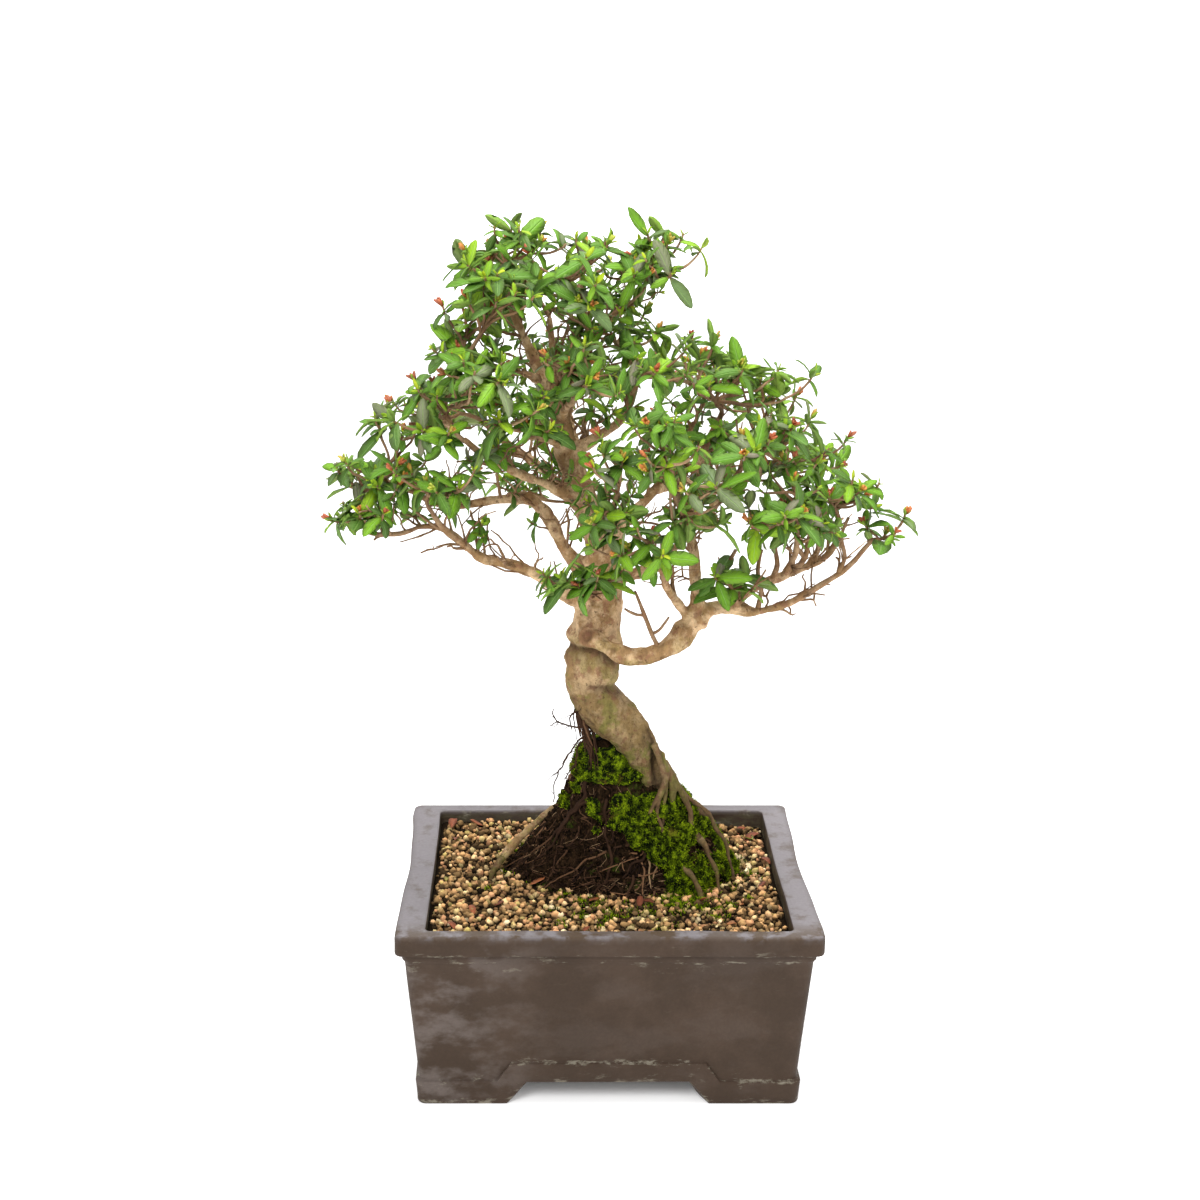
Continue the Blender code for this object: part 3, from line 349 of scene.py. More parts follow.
# Creases in the front of the trunk's skin, as (x, z) points
FOLD = ((-20.7, 232.3), (-15.9, 232.6), (-10.2, 232.9), (-5, 231.7), (0.1, 228.4), (4.7, 225.3))
LOWER_FOLD = ((12, 207), (6, 207.5), (2.5, 209.5), (-2, 210.5), (-6, 211.5), (-9, 212))
RIGHT_CLEFT = ((22, 186), (24.5, 177), (25.5, 167), (26.5, 158), (27.5, 149))


class Slot(Enum):
    """Names of material slots, which no piece of the scene takes."""

    CLAY = "fired_clay"
    GRANULES = "granules"
    EARTH = "root_earth"
    MOSS = "moss"
    BARK = "bark"
    FOLIAGE = "foliage"


# Surfaces


def whole(*shape: int) -> Indices:
    """An empty table of whole numbers."""
    return np.zeros(shape, np.int64)


@dataclass
class Shell:
    """A closed surface.

    points are in millimetres, quads and triangles name their corners anticlockwise from
    outside, tones hold a value for each point, and sheet is each point's place in a UV map.
    """

    points: Array
    quads: Indices = field(default_factory=lambda: whole(0, 4))
    triangles: Indices = field(default_factory=lambda: whole(0, 3))
    tones: dict[str, Array] = field(default_factory=dict)
    sheet: Array | None = None


def merged(shells: Sequence[Shell]) -> Shell:
    """One shell of several: their tables one after the other, with the corners counted on.

    Args:
        shells: Shells with the same tones.

    Returns:
        The shell that holds them all.
    """
    starts = np.cumsum([0] + [len(shell.points) for shell in shells[:-1]])
    sheets = [shell.sheet for shell in shells if shell.sheet is not None]
    return Shell(
        np.vstack([shell.points for shell in shells]),
        np.vstack([shell.quads + start for shell, start in zip(shells, starts)]),
        np.vstack([shell.triangles + start for shell, start in zip(shells, starts)]),
        {
            name: np.concatenate([shell.tones[name] for shell in shells])
            for name in shells[0].tones
        },
        np.vstack(sheets) if sheets else None,
    )


def unit(vectors: Array) -> Array:
    """The vectors with a length of one."""
    return vectors / np.maximum(np.linalg.norm(vectors, axis=-1, keepdims=True), 1e-9)


def lattice(cells: Indices, seed: int) -> Array:
    """A number from -1 to 1 for each whole-number cell, by mixing the bits of its coordinates.

    Args:
        cells: Cells, with three coordinates each.
        seed: Another seed gives other numbers.

    Returns:
        One number for each cell.
    """
    wide = cells.astype(np.uint64)
    mixed = wide[..., 0] * np.uint64(374761393) + wide[..., 1] * np.uint64(668265263)
    mixed = mixed + wide[..., 2] * np.uint64(2246822519) + np.uint64(seed * 974634777)
    mixed = (mixed ^ (mixed >> np.uint64(13))) * np.uint64(1274126177)
    mixed = (mixed ^ (mixed >> np.uint64(16))) & np.uint64(0xFFFFFFFF)
    return mixed / float(2**31) - 1.0


def wander(points: Array, size: float | Sequence[float], seed: int = 0) -> Array:
    """Smooth noise from -1 to 1.

    The eight lattice values round a point are blended, each axis by 3 t^2 - 2 t^3.

    Args:
        points: Points, with three coordinates each.
        size: Width of a lump, or one for each axis.
        seed: Another seed gives another pattern.

    Returns:
        One value for each point.
    """
    scaled = np.asarray(points, float) / np.asarray(size, float) + 4096.0
    cells = np.floor(scaled).astype(np.int64)
    ease = scaled - cells
    ease = ease * ease * (3 - 2 * ease)
    total = np.zeros(scaled.shape[:-1])
    for step in np.ndindex(2, 2, 2):
        step = np.array(step[::-1])
        share = np.prod(np.where(step == 1, ease, 1 - ease), axis=-1)
        total += share * lattice(cells + step, seed)
    return total


def layered(points: Array, size: float, layers: int, seed: int = 0) -> Array:
    """Noise in layers, each half as wide and half as strong as the last."""
    return sum(
        wander(points, size / 2**layer, seed + layer) / 2**layer for layer in range(layers)
    )


def swaying(points: Array, size: float, seed: int) -> Array:
    """Smooth noise from -1 to 1 on each of the three axes."""
    return np.stack([wander(points, size, seed + axis) for axis in range(3)], axis=-1)


def bell(values: Array, width: float) -> Array:
    """A bell curve: e to the power of -(value / width)^2."""
    return np.exp(-((values / width) ** 2))


def smoothed(low: float, high: float, values: Array) -> Array:
    """A soft step: 0 up to low, 1 from high on, and 3 t^2 - 2 t^3 between."""
    t = np.clip((values - low) / (high - low), 0, 1)
    return t * t * (3 - 2 * t)


def resampled(route: Sequence[Sequence[float]] | Array, step: float) -> Array:
    """A Catmull-Rom curve through a route, as points at even steps along it.

    Args:
        route: Points with a place and any further columns, such as a radius.
        step: About the distance between the new points.

    Returns:
        The new points, with the same columns.
    """
    given = np.array(route, float)
    ends = np.vstack([2 * given[0] - given[1], given, 2 * given[-1] - given[-2]])
    before, here, ahead, beyond = ends[:-3], ends[1:-2], ends[2:-1], ends[3:]
    t = np.linspace(0, 1, 12, endpoint=False)[:, None, None]
    curve = here + (ahead - before) * t / 2
    curve = curve + (2 * before - 5 * here + 4 * ahead - beyond) * t**2 / 2
    curve = curve + (3 * here - before - 3 * ahead + beyond) * t**3 / 2
    curve = np.vstack([curve.transpose(1, 0, 2).reshape(-1, given.shape[1]), given[-1:]])
    gone = np.r_[0, np.cumsum(np.linalg.norm(np.diff(curve[:, :3], axis=0), axis=1))]
    places = np.linspace(0, gone[-1], max(int(round(gone[-1] / step)), 3) + 1)
    return np.stack([np.interp(places, gone, column) for column in curve.T], axis=1)


def grid_quads(rows: int, columns: int) -> Indices:
    """Quads between rings whose points are counted ring by ring, facing out where rings rise."""
    row, column = np.meshgrid(np.arange(rows - 1), np.arange(columns), indexing="ij")
    here, above, ahead = row * columns, (row + 1) * columns, (column + 1) % columns
    corners = (here + column, here + ahead, above + ahead, above + column)
    return np.stack(corners, axis=-1).reshape(-1, 4)


def fan(pole: int, first: int, columns: int, upwards: bool) -> Indices:
    """Triangles that close a ring of points in a pole, facing up or down."""
    here = np.arange(columns)
    ahead = (here + 1) % columns
    pair = (here, ahead) if upwards else (ahead, here)
    return np.stack([np.full(columns, pole), first + pair[0], first + pair[1]], axis=-1)


def copies(points: Array, quads: Indices, triangles: Indices) -> Shell:
    """A shell of many shapes with the same faces.

    Args:
        points: Points as (shape, point, coordinate).
        quads: The quads of one shape.
        triangles: The triangles of one shape.

    Returns:
        The shell, with each shape's corners counted on from the last one's.
    """
    number, count, _ = points.shape
    starts = (np.arange(number) * count)[:, None, None]
    return Shell(
        points.reshape(-1, 3),
        (quads[None] + starts).reshape(-1, 4),
        (triangles[None] + starts).reshape(-1, 3),
    )


def capped(rings: Array, starts: Array, ends: Array) -> Shell:
    """Closed surfaces through rings, with a pole at each end.

    Args:
        rings: Points as (shape, ring, column, coordinate), anticlockwise seen from the end.
        starts: Each shape's pole before its first ring.
        ends: Each shape's pole after its last ring.

    Returns:
        The surfaces, each with the points of its rings before its two poles.
    """
    number, rows, columns, _ = rings.shape
    last = rows * columns
    flat = rings.reshape(number, last, 3)
    points = np.concatenate([flat, starts[:, None], ends[:, None]], axis=1)
    caps = [fan(last, 0, columns, False), fan(last + 1, last - columns, columns, True)]
    return copies(points, grid_quads(rows, columns), np.vstack(caps))


def closed_grid(rings: Array, bottom: Sequence[float], top: Sequence[float]) -> Shell:
    """One closed surface through rings, lowest first, between its two poles."""
    return capped(rings[None], np.array([bottom], float), np.array([top], float))


def tubes(paths: Array, radii: Array, sides: int) -> Shell:
    """Closed tubes along paths.

    A ring point is path + radius (side cos a + other sin a). The side vector is carried
    along by taking from it its part along each next direction, and other is square to both.
    Each end closes in a pole half a radius further on.

    Args:
        paths: Points as (tube, point, coordinate).
        radii: Radii as (tube, point).
        sides: Points in a ring.

    Returns:
        The tubes.
    """
    along = unit(np.gradient(paths, axis=1))
    side = np.where(np.abs(along[:, 0, 2:]) < 0.8, [[0.0, 0.0, 1.0]], [[1.0, 0.0, 0.0]])
    carried = np.empty_like(paths)
    for point in range(paths.shape[1]):
        side = side - along[:, point] * np.sum(side * along[:, point], axis=1, keepdims=True)
        side = unit(side)
        carried[:, point] = side
    other = np.cross(along, carried)
    angle = (np.arange(sides) * TURN / sides)[None, None, :, None]
    round_it = np.cos(angle) * carried[:, :, None] + np.sin(angle) * other[:, :, None]
    rings = paths[:, :, None] + radii[:, :, None, None] * round_it
    start = paths[:, 0] - along[:, 0] * radii[:, :1] / 2
    end = paths[:, -1] + along[:, -1] * radii[:, -1:] / 2
    return capped(rings, start, end)


def as_mesh(
    name: str, shell: Shell, scale: float = 1.0, shift: Sequence[float] = (0, 0, 0)
) -> Any:
    """A Blender mesh of a shell.

    Args:
        name: The mesh's name.
        shell: The surface.
        scale: Size of one of the shell's units in the mesh.
        shift: Added to each point before the scale.

    Returns:
        The mesh, with smooth faces, the tones as attributes and the sheet as a UV map.
    """
    mesh = bpy.data.meshes.new(name)
    places = (shell.points + np.asarray(shift, float)) * scale
    mesh.from_pydata(places.tolist(), [], shell.quads.tolist() + shell.triangles.tolist())
    for tone, values in shell.tones.items():
        column = mesh.attributes.new(tone, "FLOAT", "POINT").data
        column.foreach_set("value", values.astype(np.float32))
    if shell.sheet is not None:
        corners = np.empty(len(mesh.loops), np.int32)
        mesh.loops.foreach_get("vertex_index", corners)
        layer = mesh.uv_layers.new(name="sheet")
        layer.uv.foreach_set("vector", shell.sheet[corners].astype(np.float32).ravel())
    mesh.shade_smooth()
    return mesh


def fused(shell: Shell, voxel: float, rounds: int) -> Shell:
    """One skin round closed surfaces that overlap, from a voxel remesh, eased by smoothing.

    Args:
        shell: The overlapping surfaces.
        voxel: Width of a voxel.
        rounds: Rounds of smoothing, each of which moves a point half way to its neighbours.

    Returns:
        The skin.
    """
    bare = Shell(shell.points, shell.quads, shell.triangles)
    thing = bpy.data.objects.new("fused", as_mesh("fused", bare))
    bpy.context.scene.collection.objects.link(thing)
    remesh = thing.modifiers.new("Skin", "REMESH")
    remesh.mode = "VOXEL"
    remesh.voxel_size = voxel
    ease = thing.modifiers.new("Ease", "SMOOTH")
    ease.factor = 0.5
    ease.iterations = rounds
    graph = bpy.context.evaluated_depsgraph_get()
    skin = bpy.data.meshes.new_from_object(thing.evaluated_get(graph))
    points = np.empty(len(skin.vertices) * 3)
    skin.vertices.foreach_get("co", points)
    corners = np.empty(len(skin.loops), np.int32)
    skin.loops.foreach_get("vertex_index", corners)
    sizes = np.empty(len(skin.polygons), np.int32)
    skin.polygons.foreach_get("loop_total", sizes)
    if not (sizes == 4).all():
        raise ValueError("the remesh is expected to give quads only")
    bpy.data.objects.remove(thing, do_unlink=True)
    bpy.data.meshes.remove(skin)
    return Shell(points.reshape(-1, 3), corners.reshape(-1, 4).astype(np.int64))


def normals(shell: Shell) -> Array:
    """The direction square to the surface at each point: the sum of its quads' own directions."""
    corners = shell.points[shell.quads]
    facing = np.cross(corners[:, 2] - corners[:, 0], corners[:, 3] - corners[:, 1])
    total = np.zeros_like(shell.points)
    for corner in range(4):
        np.add.at(total, shell.quads[:, corner], facing)
    return unit(total)


def raised(
    axis: Array, hint: Sequence[float], turn: Array, rise: Array
) -> tuple[Array, Array]:
    """Directions that stand round axes.

    The spread is cos turn side + sin turn other, along is cos rise spread + sin rise axis,
    and above, square to it, is cos rise axis - sin rise spread.

    Args:
        axis: The twig's direction at each blade.
        hint: A direction that fixes side, square to the axis.
        turn: Angle round the axis.
        rise: Angle up from the plane square to the axis.

    Returns:
        Each blade's directions along and above.
    """
    side = unit(np.cross(axis, [hint]))
    spread = np.cos(turn)[:, None] * side + np.sin(turn)[:, None] * np.cross(axis, side)
    level, steep = np.cos(rise)[:, None], np.sin(rise)[:, None]
    return level * spread + steep * axis, level * axis - steep * spread


# Shaders


class Tone:
    """A shader socket that carries a number, for arithmetic written as Python."""

    def __init__(self, graph: "Graph", socket: Any) -> None:
        """Wraps a socket of a graph."""
        self.graph = graph
        self.socket = socket

    def __add__(self, other: Any) -> "Tone":
        """self + other."""
        return self.graph.number("ADD", self, other)

    def __radd__(self, other: Any) -> "Tone":
        """other + self."""
        return self.graph.number("ADD", other, self)

    def __sub__(self, other: Any) -> "Tone":
        """self - other."""
        return self.graph.number("SUBTRACT", self, other)

    def __rsub__(self, other: Any) -> "Tone":
        """other - self."""
        return self.graph.number("SUBTRACT", other, self)

    def __mul__(self, other: Any) -> "Tone":
        """self * other."""
        return self.graph.number("MULTIPLY", self, other)

    def clamped(self) -> "Tone":
        """The value kept from 0 to 1."""
        return self.graph.number("ADD", self, 0.0, clamp=True)

    def band(self, low: float, high: float) -> "Tone":
        """A soft step: 0 up to low, 1 from high on."""
        values = {"Value": self, "From Min": low, "From Max": high}
        node = self.graph.add("ShaderNodeMapRange", {"interpolation_type": "SMOOTHSTEP"}, values)
        return Tone(self.graph, node.outputs["Result"])


class Graph:
    """The node tree of one material."""

    def __init__(self, name: str) -> None:
        """Starts a material with an empty tree and its output."""
        self.material = bpy.data.materials.new(name)
        self.material.use_nodes = True
        self.tree = self.material.node_tree
        self.tree.nodes.clear()
        self.place = self.add("ShaderNodeTexCoord").outputs["Object"]

    def add(
        self, kind: str, settings: dict[str, Any] | None = None,
        values: dict[Any, Any] | None = None,
    ) -> Any:
        """Adds a node.

        Args:
            kind: The node's type.
            settings: Properties of the node, set first; "stops" gives a ramp's (place, colour).
            values: For each input, by name or number, a constant, a socket or a Tone.

        Returns:
            The node.
        """
        node = self.tree.nodes.new(kind)
        for name, value in (settings or {}).items():
            if name == "stops":
                self._set_stops(node, value)
            else:
                setattr(node, name, value)
        for key, value in (values or {}).items():
            socket = node.inputs[key]
            if isinstance(value, Tone):
                value = value.socket
            if isinstance(value, bpy.types.NodeSocket):
                self.tree.links.new(value, socket)
            elif isinstance(value, tuple) and len(value) == 3 and socket.type == "RGBA":
                socket.default_value = (*value, 1.0)
            else:
                socket.default_value = value
        return node

    def _set_stops(self, node: Any, stops: Sequence[tuple[float, Colour]]) -> None:
        """Gives a colour ramp its stops."""
        elements = node.color_ramp.elements
        while len(elements) < len(stops):
            elements.new(0.5)
        for element, (place, colour) in zip(elements, stops):
            element.position = place
            element.color = (*colour, 1.0)

    def number(self, operation: str, first: Any, second: Any, clamp: bool = False) -> Tone:
        """A Math node on two values."""
        settings = {"operation": operation, "use_clamp": clamp}
        node = self.add("ShaderNodeMath", settings, {0: first, 1: second})
        return Tone(self, node.outputs[0])

    def attribute(self, name: str) -> Tone:
        """A value that the mesh holds for each point."""
        return Tone(self, self.add("ShaderNodeAttribute", {"attribute_name": name}).outputs["Fac"])

    def noise(
        self, size: float, detail: float = 3.0, roughness: float = 0.55,
        stretch: tuple[float, float, float] = (1.0, 1.0, 1.0), shift: float = 0.0,
    ) -> Tone:
        """Noise on Object coordinates.

        Args:
            size: About the width of a lump, in millimetres.
            detail: Layers of finer noise.
            roughness: Strength of the finer layers.
            stretch: Scale of the pattern on each axis.
            shift: Moves the pattern, so that two of the same size differ.

        Returns:
            The noise, from 0 to 1.
        """
        placed = self.add(
            "ShaderNodeMapping", None,
            {"Vector": self.place, "Location": (shift, shift / 2, -shift), "Scale": stretch},
        )
        values = {"Vector": placed.outputs[0], "Scale": 1 / (size * MM)}
        values.update({"Detail": detail, "Roughness": roughness})
        return Tone(self, self.add("ShaderNodeTexNoise", None, values).outputs["Fac"])

    def axis(self, name: str) -> Tone:
        """One Object coordinate, in millimetres."""
        node = self.add("ShaderNodeSeparateXYZ", None, {0: self.place})
        return Tone(self, node.outputs[name]) * (1 / MM)

    def ramp(self, tone: Tone, stops: Sequence[tuple[float, Colour]]) -> Any:
        """A colour that runs through stops as the tone rises."""
        return self.add("ShaderNodeValToRGB", {"stops": stops}, {"Fac": tone}).outputs["Color"]

    def mix(self, share: Any, first: Any, second: Any) -> Any:
        """The first colour where share is 0, and the second where it is 1."""
        values = {0: share, 6: first, 7: second}
        return self.add("ShaderNodeMix", {"data_type": "RGBA"}, values).outputs[2]

    def darkened(self, colour: Any, tone: Any) -> Any:
        """A colour times a tone."""
        node = self.add("ShaderNodeVectorMath", {"operation": "SCALE"}, {0: colour, "Scale": tone})
        return node.outputs[0]

    def bumped(self, heights: Sequence[tuple[Tone, float]]) -> Any:
        """A normal bent by heights.

        Args:
            heights: Each a tone and the height in millimetres that its rise from 0 to 1 stands for.

        Returns:
            The socket of the last Bump node.
        """
        values: dict[str, Any] = {}
        for tone, height in heights:
            values.update({"Height": tone, "Distance": height * MM, "Strength": 1.0})
            values["Normal"] = self.add("ShaderNodeBump", None, values).outputs[0]
            values = {"Normal": values["Normal"]}
        return values["Normal"]

    def finished(self, colour: Any, roughness: Any, normal: Any = None, **constants: float) -> Any:
        """Ends the tree in a Principled shader.

        Args:
            colour: Base colour.
            roughness: Roughness.
            normal: A bent normal, or nothing.
            constants: Further sockets by name, with _ for a space.

        Returns:
            The material.
        """
        values = {"Base Color": colour, "Roughness": roughness}
        values.update({name.replace("_", " "): value for name, value in constants.items()})
        if normal is not None:
            values["Normal"] = normal
        shader = self.add("ShaderNodeBsdfPrincipled", None, values)
        self.add("ShaderNodeOutputMaterial", None, {"Surface": shader.outputs[0]})
        return self.material


# Finishes


@dataclass(frozen=True)
class FiredClay:
    """Unglazed grey-brown clay: mottled, paler on the rim's top by painted top light, limed along
    its ledges, with a painted highlight on the skirt's top edge and painted shade on the back wall.
    """

    brown: Colour = (0.054, 0.035, 0.024)
    dark: Colour = (0.042, 0.027, 0.018)
    grey: Colour = (0.115, 0.093, 0.082)
    # rim: the pale grey of the rim's top, painted top light
    rim: Colour = (0.205, 0.187, 0.196)
    smudge: Colour = (0.090, 0.062, 0.042)
    # lime: whitish lime, and the painted highlight along the skirt's top edge
    lime_and_highlight: Colour = (0.28, 0.255, 0.195)
    algae: Colour = (0.085, 0.075, 0.045)

    def material(self) -> Any:
        """Builds the material, which reads the pot's tones top, ledge and inside."""
        graph = Graph("fired_clay")
        cloud = graph.noise(34.0, 4.0, 0.6, shift=0.31)
        fine = graph.noise(1.6, 2.0, 0.6)
        streaks = graph.noise(5.0, 5.0, 0.72, (0.4, 0.4, 1.2), 0.07)
        body = graph.mix(cloud.band(0.35, 0.62), self.brown, self.dark)
        left = 1 - graph.axis("X").band(-95.0, -25.0)
        haze = graph.noise(24.0, 5.0, 0.6, (0.7, 0.7, 1.2), 0.83).band(0.46, 0.64)
        haze = haze * (left * 0.75 + 0.12)
        body = graph.mix(haze, body, self.grey)
        top = graph.attribute("top")
        front = 1 - graph.axis("Y").band(-92.0, -74.0)
        smudge = graph.noise(15.0, 5.0, 0.65, shift=0.55).band(0.5, 0.68) * (0.6 + front * 0.4)
        smudge = (smudge + front * 0.85 * graph.noise(9.0, 4.0).band(0.36, 0.56)).clamped()
        # The rim's top takes painted top light, with brown smudges on it
        body = graph.mix(top, body, graph.mix(smudge, self.rim, self.smudge))
        inside = graph.attribute("inside")
        body = graph.mix(inside * streaks.band(0.35, 0.6) * 0.8, body, self.algae)
        ledge = graph.attribute("ledge")
        # Lime along the ledges, which on the skirt's top edge is also a painted highlight
        crust_and_highlight = (streaks + ledge * 0.16).band(0.64, 0.78) * (0.08 + ledge * 0.55)
        crust_and_highlight = (crust_and_highlight + streaks.band(0.55, 0.68) * inside * 0.4).clamped()
        body = graph.mix(crust_and_highlight, body, self.lime_and_highlight)
        # Painted shade: the back wall darker by a fifth
        body = graph.darkened(body, 0.86 + fine * 0.28 - graph.axis("Y").band(60.0, 80.0) * 0.22)
        normal = graph.bumped(((cloud, 0.5), (fine, 0.10), (crust_and_highlight, 0.25)))
        return graph.finished(body, 0.58 + haze * 0.2 - top * 0.12, normal, Specular_IOR_Level=0.12)


@dataclass(frozen=True)
class Granules:
    """Loose fired-clay grains: tan, cream, pink and grey, each of one tone, with pores."""

    stops: tuple[tuple[float, Colour], ...] = (
        (0.00, (0.016, 0.010, 0.005)),
        (0.12, (0.075, 0.045, 0.020)),
        (0.30, (0.23, 0.142, 0.060)),
        (0.50, (0.43, 0.250, 0.108)),
        (0.66, (0.42, 0.210, 0.105)),
        (0.78, (0.56, 0.400, 0.200)),
        (0.90, (0.34, 0.260, 0.082)),
        (1.00, (0.66, 0.520, 0.320)),
    )
    pore: Colour = (0.09, 0.055, 0.028)

    def material(self) -> Any:
        """Builds the material, which reads shade, and a tone from 0 at a grain's foot to 1 by which
        the grains' lower parts get painted shade.
        """
        graph = Graph("granules")
        body = graph.ramp(graph.attribute("shade"), self.stops)
        pores = graph.noise(0.9, 2.0, 0.6)
        body = graph.mix(pores.band(0.58, 0.75) * 0.5, body, self.pore)
        body = graph.darkened(body, 0.62 + graph.noise(1.9, 2.0) * 0.76)
        # Painted shade: darkest at each grain's foot and on the bed between the grains
        crown = graph.attribute("crown")
        body = graph.darkened(body, 0.01 + crown * crown * 2.4)
        return graph.finished(body, 0.95, graph.bumped(((pores, 0.35),)), Specular_IOR_Level=0.06)


@dataclass(frozen=True)
class Earth:
    """Dark earth held by fine roots, with paler fibres and a little green."""

    dark: Colour = (0.004, 0.0024, 0.0013)
    brown: Colour = (0.031, 0.017, 0.008)
    fibre: Colour = (0.095, 0.052, 0.025)
    green: Colour = (0.040, 0.062, 0.006)

    def material(self) -> Any:
        """Builds the material."""
        graph = Graph("root_earth")
        clods = graph.noise(4.5, 4.0, 0.7)
        strands = graph.noise(1.3, 3.0, 0.6, (1.0, 1.0, 0.3), 0.21)
        body = graph.mix(clods.band(0.38, 0.68), self.dark, self.brown)
        body = graph.mix(strands.band(0.56, 0.72) * 0.8, body, self.fibre)
        green = graph.noise(15.0, 4.0, 0.6, shift=0.4).band(0.56, 0.66)
        body = graph.mix(green * 0.7, body, self.green)
        normal = graph.bumped(((clods, 1.6), (strands, 0.6)))
        return graph.finished(body, 0.97, normal, Specular_IOR_Level=0.04)


@dataclass(frozen=True)
class Graded:
    """A finish of one tone for each thin root or bud scale, with a fine grain."""

    name: str
    stops: tuple[tuple[float, Colour], ...]
    grain: tuple[float, ...]  # size, detail and roughness of the noise
    light: tuple[float, float]  # least light, and what the grain adds
    roughness: float
    height: float  # of the bump, in millimetres
    level: float  # of the specular light

    def material(self) -> Any:
        """Builds the material, which reads the tone shade."""
        graph = Graph(self.name)
        grain = graph.noise(*self.grain)
        body = graph.ramp(graph.attribute("shade"), self.stops)
        body = graph.darkened(body, self.light[0] + grain * self.light[1])
        normal = graph.bumped(((grain, self.height),))
        return graph.finished(body, self.roughness, normal, Specular_IOR_Level=self.level)


FIBRES = Graded(
    "fine_roots",
    (
        (0.0, (0.012, 0.006, 0.004)), (0.45, (0.050, 0.025, 0.014)),
        (0.75, (0.19, 0.100, 0.052)), (1.0, (0.46, 0.33, 0.19)),
    ),
    (2.0, 3.0, 0.6), (0.6, 0.8), 0.9, 0.3, 0.08,
)
BUD_SCALES = Graded(
    "bud_scales",
    (
        (0.0, (0.22, 0.075, 0.020)), (0.35, (0.46, 0.105, 0.045)),
        (0.60, (0.55, 0.20, 0.035)), (1.0, (0.42, 0.48, 0.06)),
    ),
    (1.2, 2.0, 0.55), (0.7, 0.6), 0.5, 0.1, 0.5,
)


@dataclass(frozen=True)
class Moss:
    """Living moss, yellow-green at its tips, with painted shade near black between them."""

    # deep: near black, the painted shade low in the moss
    deep: Colour = (0.0025, 0.005, 0.001)
    middle: Colour = (0.076, 0.118, 0.003)
    tip: Colour = (0.400, 0.530, 0.014)
    dry: Colour = (0.16, 0.105, 0.02)

    def material(self) -> Any:
        """Builds the material, which reads the tone height, from 0 in the cushion to 1 at a tip, so
        that low places get painted shade.
        """
        graph = Graph("moss")
        tufts = graph.noise(3.6, 3.0, 0.65)
        # Painted shade where the moss is low, lighter towards the tips
        light = (graph.attribute("height") * 0.6 + tufts.band(0.40, 0.64) * 0.62 - 0.16).clamped()
        body = graph.ramp(light, ((0.0, self.deep), (0.45, self.middle), (1.0, self.tip)))
        dry = graph.noise(11.0, 4.0, 0.7, shift=0.6).band(0.60, 0.72)
        body = graph.mix(dry * 0.5, body, self.dry)
        return graph.finished(body, 0.9, graph.bumped(((tufts, 1.2),)), Specular_IOR_Level=0.05)


@dataclass(frozen=True)
class Bark:
    """Thin pale bark: tan, with algae in patches, red-brown scars, darker creases, and painted
    shade in its hollows and below its folds.
    """

    name: str
    pale: Colour = (0.56, 0.385, 0.225)
    tan: Colour = (0.300, 0.174, 0.082)
    algae: Colour = (0.245, 0.225, 0.058)
    scar: Colour = (0.250, 0.120, 0.070)
    # crease: the dark of the bark's fine creases, and the colour of the painted shade in its
    # hollows
    crease: Colour = (0.062, 0.036, 0.018)
    young: Colour = (0.155, 0.085, 0.047)
    ochre: Colour = (0.300, 0.212, 0.080)

    def material(self) -> Any:
        """Builds the material, which reads shade, from old wood to twig, low, the tone of painted
        shade in the hollows, and scar.
        """
        graph = Graph(self.name)
        patches = graph.noise(11.0, 5.0, 0.65, shift=0.13)
        fine = graph.noise(2.2, 4.0, 0.7, (1.0, 1.0, 0.8), 0.37)
        scars = graph.noise(6.0, 4.0, 0.65, shift=0.71)
        body = graph.mix(patches.band(0.42, 0.58), self.pale, self.tan)
        green = graph.noise(15.0, 4.0, 0.6, shift=0.93).band(0.50, 0.57)
        low = graph.attribute("low")
        body = graph.mix(low * 0.65, body, self.ochre)
        body = graph.mix(green * (low * 0.8 + 0.08), body, self.algae)
        red = scars.band(0.54, 0.62) * 0.65 + graph.attribute("scar") * 0.7
        body = graph.mix(red.clamped(), body, self.scar)
        body = graph.mix(fine.band(0.55, 0.69) * 0.75, body, self.crease)
        young = graph.attribute("shade") * (0.95 - patches.band(0.5, 0.62) * 0.35)
        body = graph.mix(young, body, self.young)
        # Painted shade in the knot's hollow, in the folds' creases and below them, and between the
        # flakes
        body = graph.mix(graph.attribute("hollow"), body, self.crease)
        streaks = graph.noise(3.4, 5.0, 0.7, (1.0, 1.0, 0.4), 0.59)
        body = graph.darkened(body, 0.04 + fine * 1.0 + streaks * 1.1 - low * 0.54)
        normal = graph.bumped(((patches, 0.6), (scars, 0.6), (fine, 0.7)))
        return graph.finished(body, 0.85, normal, Specular_IOR_Level=0.12)


